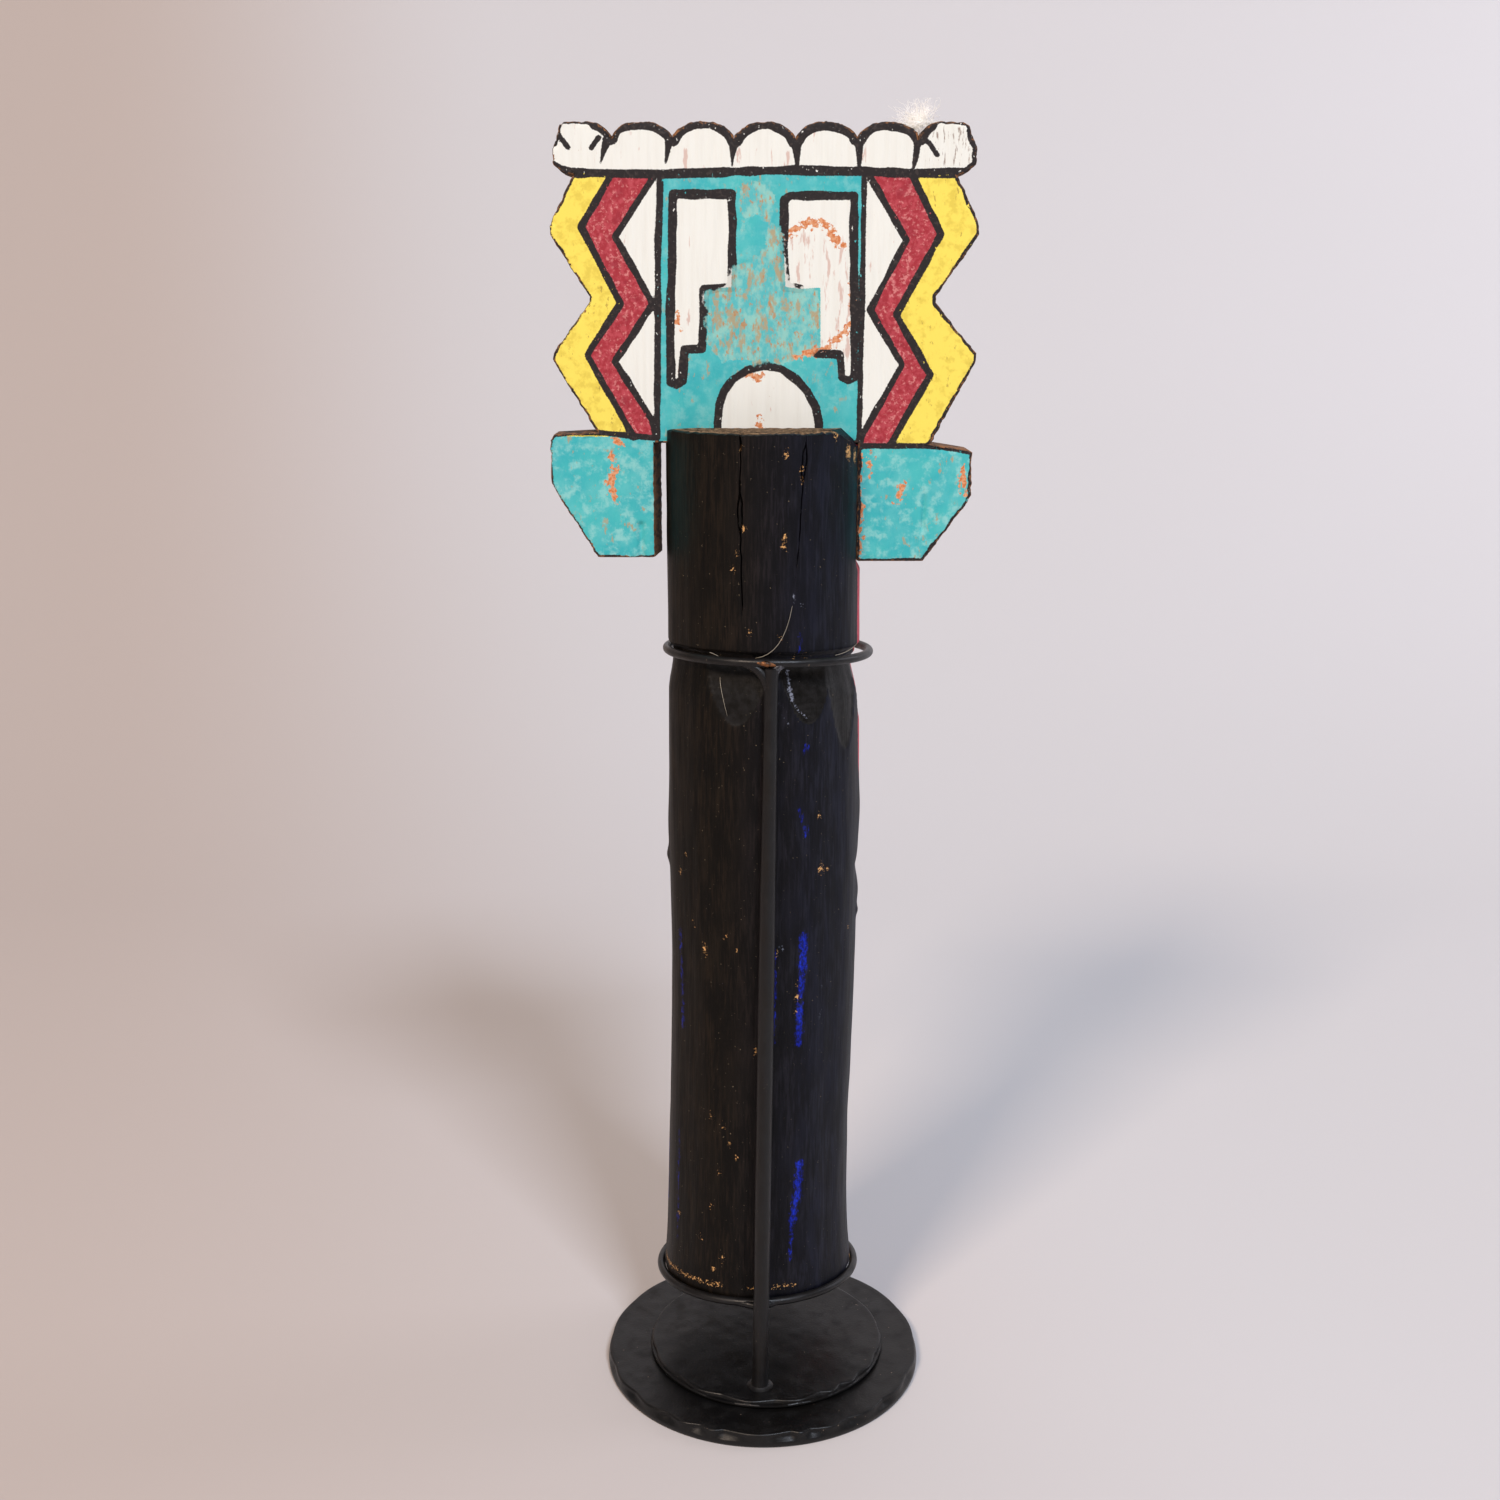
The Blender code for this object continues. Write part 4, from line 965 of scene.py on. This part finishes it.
RUST_STAINS = (
    (0.9, ((6.4, 355.2), (8.6, 357.6), (11.8, 358.9), (15.6, 359.3), (18.4, 357.3), (21.6, 352.8))),
    (0.9, ((14.6, 323.8), (18.8, 325.4), (22.4, 329.2), (25.6, 332.4), (25.3, 336.3))),
    (1.0, ((12.0, 323.2), (16.5, 324.0))), (0.8, ((-6.5, 317.4), (-1.5, 316.9))), (0.7, ((25.6, 343.5), (25.8, 338.5))),
    (0.8, ((-44.4, 294.5), (-43.4, 290.5), (-45.2, 286.5), (-43.9, 281.5))), (0.8, ((-43.2, 299.3), (-41.8, 297.4))),
    (0.7, ((-25.2, 334.0), (-24.4, 331.0))), (0.1, ((28.3, 296.0), (28.2, 282.0))), (0.8, ((28.3, 280.0), (28.2, 266.0))),
    (0.7, ((58.0, 290.5), (58.6, 283.5))), (0.5, ((30.9, 294.5), (30.7, 288.5))), (0.5, ((40.5, 286.0), (39.0, 281.0))),
    (0.6, ((-1.2, 304.6), (-1.4, 303.0))), (0.35, ((10.3, 322.7), (8.8, 322.2))),
)
PAINT_REACH = 3.0


def line_distance(x, z, line):
    """Distance to a broken line: the least over its pieces of the distance to each piece."""
    least = np.full(x.shape, 1e9)
    for (x0, z0), (x1, z1) in zip(line[:-1], line[1:]):
        if (x0, z0) == (x1, z1):
            continue
        along = np.clip(((x - x0) * (x1 - x0) + (z - z0) * (z1 - z0)) / ((x1 - x0) ** 2 + (z1 - z0) ** 2), 0.0, 1.0)
        least = np.minimum(least, np.hypot(x - x0 - along * (x1 - x0), z - z0 - along * (z1 - z0)))
    return least


def signed_distance(x, z, shape):
    """Distance to a closed shape, positive inside: a ray to the right crosses its edge an odd number of times."""
    closed = [*shape, shape[0]]
    odd = np.zeros(x.shape, bool)
    for (x0, z0), (x1, z1) in zip(closed[:-1], closed[1:]):
        if z0 != z1:
            odd ^= ((z0 > z) != (z1 > z)) & (x < x0 + (z - z0) * (x1 - x0) / (z1 - z0))
    return np.where(odd, 1.0, -1.0) * line_distance(x, z, closed)


def across_line(z, line):
    """Where a line that climbs without turning back stands at a height."""
    order = np.array(sorted(line, key=lambda point: point[1]))
    return np.interp(z, order[:, 1], order[:, 0])


def painting(x, z):
    """Fields in millimetres, positive inside: grounds, lines, wear and stains of the painted face."""
    wobble = 0.14 * noise(x / 4.0, z / 4.0, 41.0)
    ink = np.full(x.shape, -9.0)
    for half, line in STROKES:
        ink = np.maximum(ink, half * (1.06 + 1.6 * wobble) - line_distance(x, z, line))
    for line in DIVIDERS:
        (x0, z0), (x1, z1) = line
        share = np.clip((z - z1) / (z0 - z1), 0.0, 1.0)
        ink = np.maximum(ink, 0.4 + 1.1 * share + 2.0 * wobble - line_distance(x, z, line))
    edges = lobe_edges()
    lobes = [(u, v) for u, v in zip(lobe_x, band_top(lobe_x)) if edges[0] + 9.0 < u < edges[-1] - 10.0]
    crest = np.clip((x + 46.0) / 12.0, 0.0, 1.0)
    ink = np.maximum(ink, 1.7 + 0.7 * crest + 4.0 * wobble - line_distance(x, z, lobes))
    rim = np.abs(signed_distance(x, z, outline.tolist()))
    below_band = smoothstep(374.0, 372.0, z)
    side_line = below_band * np.where(x > 0.0, 0.85 + 2.5 * wobble, 0.5 + 2.5 * wobble) - rim
    end_line = (x > 56.5) * (z > 373.0) * (1.3 + 4.0 * wobble) - rim
    top_line = (np.abs(x) > 46.0) * (z > 380.0) * (0.75 + 4.0 * wobble) - rim
    ink = np.maximum(ink, np.where(below_band > 0.5, side_line, np.maximum(end_line, top_line)))
    above_wing = z - np.where(x < 0.0, 299.8, 296.9)
    yellow = np.maximum(across_line(z, LEFT_YELLOW_RED) - x, x - across_line(z, RIGHT_YELLOW_RED))
    crimson = np.maximum(
        np.minimum(x - across_line(z, LEFT_YELLOW_RED), across_line(z, LEFT_RED_WHITE) - x),
        np.minimum(across_line(z, RIGHT_YELLOW_RED) - x, x - across_line(z, RIGHT_RED_WHITE)))
    white = np.maximum(
        np.minimum(x - across_line(z, LEFT_RED_WHITE), across_line(z, LEFT_PANEL) - x),
        np.minimum(across_line(z, RIGHT_RED_WHITE) - x, x - across_line(z, RIGHT_PANEL)))
    right_white = [*RIGHT_FIGURE, (16.1, 324.6), (15.9, 341.6)]
    for shape in (LEFT_FIGURE, right_white, HALF_DISC):
        white = np.maximum(white, signed_distance(x, z, shape))
    white = np.maximum(np.minimum(white, above_wing), z - 372.6)
    worn = np.maximum(signed_distance(x, z, WORN_CENTRE), signed_distance(x, z, WORN_TOP) - 0.8)
    rust = np.full(x.shape, -9.0)
    for half, line in RUST_STAINS:
        rust = np.maximum(rust, half - line_distance(x, z, line))
    streaks = smoothstep(-1.0, 2.0, signed_distance(x, z, right_white)) * smoothstep(362.0, 352.0, z)
    for place, wide in ((-22.0, 1.6), (-18.0, 1.2), (-7.0, 2.2), (-2.6, 0.8), (1.6, 0.8), (6.0, 1.6), (28.5, 1.2), (-38.0, 0.8)):
        spot = np.exp(-((x - place) / wide) ** 2) * smoothstep(382.0, 377.0, z) * smoothstep(372.0, 374.0, z)
        streaks = np.maximum(streaks, 1.25 * spot)
    streaks = np.maximum(streaks, 0.5 * smoothstep(345.0, 335.0, z) * smoothstep(-1.0, 1.0, signed_distance(x, z, LEFT_FIGURE)))
    ragged_end = smoothstep(44.0, 47.0, x) * smoothstep(373.5, 376.0, z)
    wing = smoothstep(299.0, 296.0, z)
    fields = dict(ink=ink, yellow=np.minimum(yellow, above_wing), crimson=np.minimum(crimson, above_wing),
                  white=white, worn=worn, rust=rust, rim=rim)
    fields = {label: np.clip(field, -PAINT_REACH, PAINT_REACH) for label, field in fields.items()}
    return fields | dict(streaks=streaks, ragged_end=ragged_end, wing=wing)


# %% [markdown]
# The paint is ground pigment in thin glue, so it is matt, and it shows the grain of the wood. Turquoise is
# mottled with paler spots where it rubbed thin, crimson is dabbed in pink, and white cracks along the
# grain. Where the paint is gone, tan wood shows. The sawn edges are brown, with black paint run over them.

# %% Pigment paint and sawn edges
GRAIN = (1.0, 1.0, 14.0)

def hair(tree, label, grit=0.35, reach=0.35, soft=0.07, seed=0.0):
    """A painted field cut at zero, its rim moved in and out by the hairs of the brush."""
    wander = add(tree, "less", speckle(tree, grit, detail=3.0, shift=seed, rough=0.6), 0.5)
    wander = add(tree, "times", wander, reach * 2.0)
    moved = add(tree, "plus", add(tree, "kept", attribute_name=label), wander)
    return add(tree, "rise", moved, -soft, soft)


def pigment_paint():
    """Matt pigment paints in layers, each with its own mottling, wear and broken rims."""
    material, tree = new_material("pigment_paint_on_wood")

    def cloud(cell, edge, soft, stretch=(1.0, 1.0, 1.0), shift=0.0, detail=4.0, amount=1.0):
        return patches(tree, cell, edge, soft, stretch, shift, detail, 0.62, amount)

    coat = add(tree, "lay", cloud(16.0, 0.5, 0.2), "#35AEB6", "#49BCBC")
    coat = add(tree, "lay", cloud(7.0, 0.54, 0.12, shift=2.0, amount=0.5), coat, "#66C3C4")
    paler = add(tree, "times, plus", add(tree, "kept", attribute_name="wing"), 0.45, 0.4)
    pale = add(tree, "times", cloud(3.2, 0.57, 0.11, shift=5.0, detail=6.0), paler)
    coat = add(tree, "lay", pale, coat, "#8FD0CC")
    spots = cloud(1.6, 0.63, 0.025, (1.0, 1.0, 1.8), 8.0, amount=0.85)
    coat = add(tree, "lay", add(tree, "times", spots, cloud(9.0, 0.5, 0.1, shift=3.0)), coat, "#A89A78")
    worn = hair(tree, "worn", 2.4, 2.6, 0.35, 2.0)
    rubbed = add(tree, "lay", cloud(2.6, 0.5, 0.12, (1.0, 1.0, 1.5), 6.0), "#8CC9C0", "#55B9BD")
    rubbed = add(tree, "lay", cloud(2.0, 0.56, 0.06, (1.0, 1.0, 2.0), 11.0, amount=0.85), rubbed, "#B09A74")
    rubbed = add(tree, "lay", cloud(1.3, 0.62, 0.04, (1.0, 1.0, 2.0), 12.0, amount=0.8), rubbed, "#B98452")
    coat = add(tree, "lay", worn, coat, rubbed)
    sun = add(tree, "lay", cloud(3.0, 0.56, 0.1, shift=1.0), "#F4E060", "#E2CC52")
    sun = add(tree, "lay", cloud(1.4, 0.66, 0.03, (1.0, 1.0, 2.5), 4.0, amount=0.8), sun, "#AE9440")
    coat = add(tree, "lay", hair(tree, "yellow", 0.6, 0.3), coat, sun)
    dabs = add(tree, "lay", cloud(1.5, 0.53, 0.1, shift=2.5), "#A32F3A", "#B84852")
    dabs = add(tree, "lay", cloud(1.1, 0.59, 0.06, shift=6.5, amount=0.75), dabs, "#D98A88")
    dabs = add(tree, "lay", cloud(4.0, 0.6, 0.1, shift=9.5, amount=0.5), dabs, "#8C2432")
    coat = add(tree, "lay", hair(tree, "crimson", 0.6, 0.3), coat, dabs)
    chalk = add(tree, "lay", cloud(2.0, 0.55, 0.15, GRAIN, 1.5), "#E9ECE5", "#E4E6DE")
    thin = add(tree, "times", add(tree, "kept", attribute_name="streaks"), 0.125)
    thin = add(tree, "plus", speckle(tree, 1.3, (1.0, 1.0, 6.0), detail=4.0, shift=7.0), thin)
    cracks = add(tree, "times", add(tree, "rise", thin, 0.67, 0.74), 0.8)
    chalk = add(tree, "lay", cracks, chalk, "#CFB0A4")
    nicks = cloud(0.55, 0.6, 0.03, (1.0, 1.0, 7.0), 14.0, amount=0.85)
    nicks = add(tree, "times", nicks, add(tree, "kept", attribute_name="ragged_end"))
    chalk = add(tree, "lay", nicks, chalk, "#8A7468")
    chalk = add(tree, "lay", cloud(0.9, 0.735, 0.012, (1.0, 1.0, 2.5), 15.0), chalk, "#B08468")
    coat = add(tree, "lay", hair(tree, "white", 0.5, 0.3, seed=1.0), coat, chalk)
    stain = add(tree, "lay", cloud(0.9, 0.5, 0.1), "#C97440", "#DDA47C")
    coat = add(tree, "lay", hair(tree, "rust", 1.4, 3.4, 0.16, 3.0), coat, stain)
    scar = cloud(1.0, 0.665, 0.02, (1.0, 1.0, 1.6), 17.0)
    ink = add(tree, "times", hair(tree, "ink", 0.5, 0.28, 0.09, 4.0), add(tree, "less", 1.0, scar))
    ink = add(tree, "times", ink, add(tree, "less", 1.0, add(tree, "times", worn, 0.8)))
    coat = add(tree, "lay", ink, coat, add(tree, "lay", cloud(1.2, 0.6, 0.08), "#242021", "#3B3432"))
    rim = add(tree, "kept", attribute_name="rim")
    broken = add(tree, "less", speckle(tree, 1.3, detail=4.0, rough=0.7), 0.5)
    edge = add(tree, "plus", add(tree, "less", 0.42, rim), add(tree, "times", broken, 2.6))
    near_edge = add(tree, "rise", add(tree, "less", 1.3, rim), -0.2, 0.6)
    bare_edge = add(tree, "times", add(tree, "rise", edge, 0.06, 0.18), near_edge)
    sawn = add(tree, "lay", cloud(1.5, 0.5, 0.1, shift=8.0), "#4A3526", "#8E5E38")
    coat = add(tree, "lay", bare_edge, coat, sawn)
    wet = add(tree, "rise", add(tree, "kept", attribute_name="ink"), -0.1, 0.1)
    relief = add(tree, "plus", speckle(tree, 0.4, GRAIN, detail=4.0), add(tree, "times", wet, 0.35))
    return finish(material, coat, 0.72, 0.3, relief, depth=0.14)


def sawn_edge():
    """Sawn side of the plank: brown wood, with the black outline run over much of it."""
    material, tree = new_material("sawn_board_edge")
    wood = add(tree, "lay", speckle(tree, 0.6, (1.0, 6.0, 1.0)), "#6A4529", "#9A6B42")
    more_wood = add(tree, "times", add(tree, "kept", attribute_name="wing"), 0.1)
    field = add(tree, "plus", speckle(tree, 2.2, (1.0, 3.0, 1.0), detail=6.0, shift=5.0), more_wood)
    wood = add(tree, "lay", add(tree, "rise", field, 0.42, 0.66), "#2A211C", wood)
    return finish(material, wood, 0.8, height=speckle(tree, 0.4, (1.0, 5.0, 1.0)))


def thin_turquoise():
    """Back of the plank: one thin coat of turquoise, with the grain of the wood showing through it."""
    material, tree = new_material("thin_turquoise_on_back")
    wood = add(tree, "lay", speckle(tree, 0.9, GRAIN), "#C08F60", "#8F6240")
    coat = add(tree, "lay", speckle(tree, 18.0), "#3FAFB4", "#57B9B7")
    pale = patches(tree, 5.0, 0.56, 0.12, shift=4.0, detail=5.0, amount=0.4)
    coat = add(tree, "lay", pale, coat, "#8FCDC8")
    thin = patches(tree, 0.9, 0.6, 0.06, GRAIN, 6.0, 5.0, amount=0.65)
    return finish(material, add(tree, "lay", thin, coat, wood), 0.75,
                  height=speckle(tree, 0.5, GRAIN, detail=4.0))


board_paint, edge_wood, back_paint = pigment_paint(), sawn_edge(), thin_turquoise()


# %% Build the board
def walk(corners, steps):
    """Points along a line of corners, each stretch cut into its number of steps."""
    runs = [a + (b - a) * np.linspace(0.0, 1.0, n, endpoint=False)[:, None]
            for a, b, n in zip(corners[:-1], corners[1:], steps)]
    return np.vstack([*runs, corners[-1:]])


def board_rows():
    """Left edge, left wall, right wall and right edge of every row, from the foot of the wings up."""
    climb = np.maximum(np.abs(np.diff(left_edge[:, 1])), np.abs(np.diff(right_edge[:, 1])))
    steps = np.maximum(1, np.ceil(climb / CELL)).astype(int)
    slot_row = int(steps[:WING_CORNER].sum())
    anchors = []
    for edge, wall in ((left_edge, LEFT_WALL), (right_edge, RIGHT_WALL)):
        line = walk(edge, steps)
        z = line[:, 1]
        low = z[0] + (z - z[0]) * (SLOT_FACE - z[0]) / (z[slot_row] - z[0])
        high = SLOT_FACE + (z - z[slot_row]) * (z[-1] - SLOT_FACE) / (z[-1] - z[slot_row])
        inner = np.where(np.arange(len(z)) <= slot_row, low, high)
        anchors.append((line, np.stack([np.full_like(z, wall), inner], axis=1)))
    (left, left_wall), (right, right_wall) = anchors
    return left, left_wall, right_wall, right, slot_row


def strip(start, end, stops):
    """Columns between two anchors, so placed that the top row meets the given stops."""
    marks = [start, *[s for s in stops if min(start, end) < s < max(start, end)], end]
    counts = [max(1, math.ceil(abs(b - a) / CELL)) for a, b in zip(marks[:-1], marks[1:])]
    places = walk(np.array(marks)[:, None], counts)[:, 0]
    return (places - start) / (end - start)


def board_face():
    """Grid of the painted face, lifted at its top to the scallops."""
    left, left_wall, right_wall, right, slot_row = board_rows()
    blocks, counts = [], []
    for start, end in ((left, left_wall), (left_wall, right_wall), (right_wall, right)):
        share = strip(start[-1, 0], end[-1, 0], lobe_edges())
        share = share if not blocks else share[1:]
        blocks.append(start[:, None, :] + share[None, :, None] * (end - start)[:, None, :])
        counts.append(len(share))
    grid = np.concatenate(blocks, axis=1)
    x, z = grid[..., 0], grid[..., 1]
    base, last = BAND_BASE + 2.0, float(left[-1, 1])
    crest = np.where(np.abs(x) < lobe_edges()[-1], band_top(x) - EASE, last)
    z = np.where(z > base, base + (z - base) * (crest - base) / (last - base), z)
    return x, z, counts[0] - 1, counts[0] + counts[1] - 1, slot_row


def board_loop(rows, columns, first, second, slot_row):
    """Point numbers round the face, clockwise: up the left edge, over the top, and round the slot."""
    number = np.arange(rows * columns).reshape(rows, columns)
    return np.concatenate([
        number[:-1, 0], number[-1, :-1], number[1:, -1][::-1], number[0, second + 1:][::-1],
        number[:slot_row, second], number[slot_row, first + 1:second + 1][::-1],
        number[1:slot_row + 1, first][::-1], number[0, 1:first + 1][::-1],
    ])


def build_board():
    """Face, eased and chipped edges, sawn sides and back of the plank."""
    x, z, first, second, slot_row = board_face()
    rows, columns = x.shape
    fields = painting(x, z)
    rim = fields["rim"]
    chipped = np.clip(noise(x / 2.6, z / 2.6, 51.0) - 0.25, 0.0, 1.0) + 0.4 * np.clip(noise(x / 0.9, z / 0.9, 52.0), 0.0, 1.0)
    y = BOARD_FRONT + 0.7 * chipped * np.exp(-((rim - EASE) / 0.7) ** 2)
    groove = 0.05 * noise(x / 0.8, z / 15.0, 53.0) + 0.03 * noise(x / 3.0, z / 6.0, 54.0)
    y = y + groove + 0.1 * smoothstep(-0.3, 0.3, fields["worn"]) + 0.05
    wing_ridge = smoothstep(46.0, 50.0, x) * fields["wing"] * 0.22 * np.abs(noise(x / 1.6, z / 20.0, 55.0))
    cut = 0.8 * np.exp(-((x - 46.6 - 0.03 * (z - 275.0)) / 0.45) ** 2) * smoothstep(271.0, 274.0, z)
    cut = cut * smoothstep(284.0, 281.0, z)
    left_cut = 0.9 * np.exp(-((x + 36.3) / 0.9) ** 2) * smoothstep(275.5, 274.0, z)
    y = y + wing_ridge + cut + left_cut
    y = np.clip(y, BOARD_FRONT, BOARD_FRONT + 1.3)
    nibble = np.clip(0.45 * np.abs(noise(x / 3.2, z / 3.2, 56.0)) + 0.3 * np.abs(noise(x / 1.1, z / 1.1, 57.0)), 0.0, 0.6)
    nibble = nibble * np.exp(-((rim - EASE) / 2.5) ** 2)
    x = x - nibble * np.clip(x / 50.0, -1.0, 1.0)
    z = z - nibble * smoothstep(374.0, 380.0, z)
    points = np.stack([x, y, z], axis=-1).reshape(-1, 3)
    faces = [f for f in grid_faces(rows, columns)
             if not (f[0] // columns < slot_row and first <= f[0] % columns < second)]
    loop = board_loop(rows, columns, first, second, slot_row)
    line = points[loop][:, [0, 2]]
    along = np.roll(line, -1, axis=0) - np.roll(line, 1, axis=0)
    along /= np.linalg.norm(along, axis=1)[:, None]
    out = np.stack([-along[:, 1], along[:, 0]], axis=1)
    front = points[loop][:, 1]
    depth = np.concatenate([[0.1, 0.25, 0.55], np.linspace(1.2, 13.5, 14), [13.85, 14.0]])
    reach = np.concatenate([[0.55, 0.9, 1.0], np.ones(14), [0.7, 0.0]]) * EASE
    skew = np.where((np.abs(line[:, 0] - LEFT_WALL) < 1.0) & (line[:, 1] < SLOT_FACE + 0.1), 1.6, 0.0)
    rings = []
    for deep, wide in zip(depth, reach):
        ring_y = BOARD_FRONT + deep + (front - BOARD_FRONT) * max(0.0, 1.0 - deep / 3.0)
        saw = 0.06 * noise(line[:, 0] / 5.0, line[:, 1] / 5.0, 60.0 + deep) if 1.0 < deep < 13.6 else 0.0
        side_line = line + out * (wide - np.abs(saw))[:, None] if np.ndim(saw) else line + out * wide
        side_line = side_line + np.stack([skew * deep / 14.0, 0.0 * skew], axis=1)
        rings.append(np.stack([side_line[:, 0], np.minimum(ring_y, BOARD_BACK), side_line[:, 1]], axis=1))
    count, face_total = len(loop), len(points)
    walls = grid_faces(len(rings), count, closed=True, start=face_total)
    joint = [(loop[i], loop[(i + 1) % count], face_total + (i + 1) % count, face_total + i) for i in range(count)]
    back_start = face_total + (len(rings) - 1) * count
    front_faces = len(faces) + count
    faces = faces + [tuple(int(i) for i in f) for f in joint] + walls + [tuple(range(back_start, back_start + count))]
    points = np.vstack([points, *rings])
    kept = {}
    for label, field in fields.items():
        flat = field.ravel()
        kept[label] = np.concatenate([flat, np.tile(flat[loop], len(rings))])
    used = np.unique(np.concatenate([np.ravel(f) for f in faces]))
    renumber = np.full(len(points), -1)
    renumber[used] = np.arange(len(used))
    faces = [tuple(renumber[list(f)].tolist()) for f in faces]
    kept = {label: values[used] for label, values in kept.items()}
    piece = add_piece("tablita_painted", points[used] * MM, faces, board_paint, "tablita", kept, 40.0)
    piece.data.materials.append(edge_wood)
    piece.data.materials.append(back_paint)
    material = np.ones(len(faces), np.int32)
    material[:front_faces] = 0
    material[-1] = 2
    piece.data.polygons.foreach_set("material_index", material)


build_board()

# %% [markdown]
# ## Down and loose fibres
# A tuft of down is a bunch of soft barbs that spring from one glued spot. Each barb is a hair thin ribbon
# that curls: its direction turns a little at every step. Light passes through and between the barbs, and a
# faint painted glow stands in for that.
# A few stray fibres cling to the wire. All are hair thin tubes along short curves.

# %% Down and fibres


def down_material():
    """White down. Its barbs pass light on to each other and hardly shade; a faint glow stands for that."""
    material, tree = new_material("white_down")
    shader = tree.nodes["Principled BSDF"]
    shader.inputs["Emission Color"].default_value = linear("#FFF8EC")
    shader.inputs["Emission Strength"].default_value = 0.16
    return finish(material, add(tree, "lay", speckle(tree, 2.0), "#FFFFFF", "#FBF6EC"), 0.8)


def fibre_material():
    """Pale dry fibre, a little shiny."""
    material, tree = new_material("pale_fibre")
    return finish(material, add(tree, "lay", speckle(tree, 3.0), "#8F887A", "#B5AC9A"), 0.5)


def curled_paths(count, roots, aims, lengths, curl, seed, joints=9):
    """Paths that start at roots along aims; each step adds a random turn, so the barb curls."""
    draw = np.random.default_rng(seed)
    place = np.asarray(roots, float)
    aim = aims / np.linalg.norm(aims, axis=1)[:, None]
    bend = draw.normal(0.0, curl, (count, 3))
    paths = [place]
    for _ in range(joints - 1):
        aim = aim + bend / joints + draw.normal(0.0, 0.12 * curl, (count, 3))
        aim = aim / np.linalg.norm(aim, axis=1)[:, None]
        place = place + aim * (lengths / (joints - 1))[:, None]
        paths.append(place)
    return np.stack(paths, axis=1)


def hairs(name, paths, radius, material, node=None, sides=3):
    """One mesh of many thin tubes, each a ring of few sides carried along its path and tapered."""
    points, faces = [], []
    taper = np.linspace(1.0, 0.45, paths.shape[1])
    for number, path in enumerate(paths):
        rings = carry_circle(path, radius * taper, sides)
        start = number * paths.shape[1] * sides
        points.append(rings.reshape(-1, 3))
        faces += grid_faces(paths.shape[1], sides, closed=True, start=start)
        faces += [tuple(range(start, start + sides)), tuple(range(start + (paths.shape[1] - 1) * sides,
                                                                  start + paths.shape[1] * sides))]
    add_piece(name, np.vstack(points) * MM, faces, material, node, sharp=180.0)


def build_down():
    """Barbs from the valley between two lobes: a dense core on the right and loose wisps to the left."""
    draw = np.random.default_rng(7)
    low, high = (np.array(corner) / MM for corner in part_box("down_tuft"))
    count = 330
    core = draw.random(count) < 0.6
    root = np.stack([high[0] - 1.8 + draw.normal(0.0, 1.2, count), AXIS_Y - 1.5 + draw.normal(0.0, 1.5, count),
                     np.full(count, low[2] + 0.8)], axis=1)
    root[:, 2] = np.maximum(root[:, 2], band_top(root[:, 0]) + 0.3)
    aim = np.stack([np.where(core, draw.normal(-1.3, 0.5, count), draw.normal(-0.8, 0.9, count)),
                    draw.normal(-0.1, 0.5, count), np.where(core, draw.normal(0.55, 0.35, count), draw.normal(0.6, 0.5, count))], axis=1)
    length = np.where(core, draw.uniform(4.0, 9.0, count), draw.uniform(5.0, 12.0, count))
    paths = curled_paths(count, root, aim, length, 2.6, 17, joints=14)
    low = low - np.array([0.6, 0.3, 0.0])
    paths[..., 2] = np.maximum(paths[..., 2], band_top(paths[..., 0]) + 0.2)
    far = paths[..., 2] > high[2] - 0.3
    paths[..., 2] = np.where(far, high[2] - 0.3 - 0.15 * (paths[..., 2] - high[2] + 0.3), paths[..., 2])
    right = high[0] + 3.0
    paths[..., 0] = np.where(paths[..., 0] > right, right - 0.7 * (paths[..., 0] - right), paths[..., 0])
    margin = np.array([0.15, 0.15, 0.15])
    paths[..., :2] = np.clip(paths[..., :2], low[:2] + margin[:2], high[:2] - margin[:2] + np.array([3.5, 0.0]))
    hairs("down_barbs", paths, 0.065, down_material(), "down_tuft")


def surface_point(turn, z, off=0.2):
    """A place just clear of the stick, at a turn in degrees and a height."""
    angle = math.radians(turn)
    reach = float(stick_radius(np.array([angle]), np.array([z]))[0]) + off
    return (float(axis_x(z)) + reach * math.sin(angle), AXIS_Y - reach * math.cos(angle), z)


def build_fibres():
    """Four stray fibres on the stick, each a curve through three places on its surface."""
    stops = (
        ((-5.0, 238.4, 0.4), (8.0, 243.0, 1.5), (16.0, 253.6, 0.6)),
        ((-33.0, 239.4, 0.8), (-29.0, 238.8, 1.2), (-25.0, 237.9, 1.3)),
        ((49.0, 237.4, 0.6), (59.0, 238.2, 1.2), (69.0, 239.6, 1.0)),
        ((-28.0, 232.0, 0.3), (-26.0, 228.0, 0.4), (-22.0, 221.0, 0.3)),
    )
    share = np.linspace(0.0, 1.0, 9)[:, None]
    paths = []
    for stop in stops:
        first, middle, last = (np.array(surface_point(*place)) for place in stop)
        bend = 2.0 * middle - (first + last) / 2.0
        paths.append((1.0 - share) ** 2 * first + 2.0 * share * (1.0 - share) * bend + share ** 2 * last)
    hairs("stray_fibres", np.array(paths), 0.11, fibre_material(), sides=5)


build_down()
build_fibres()
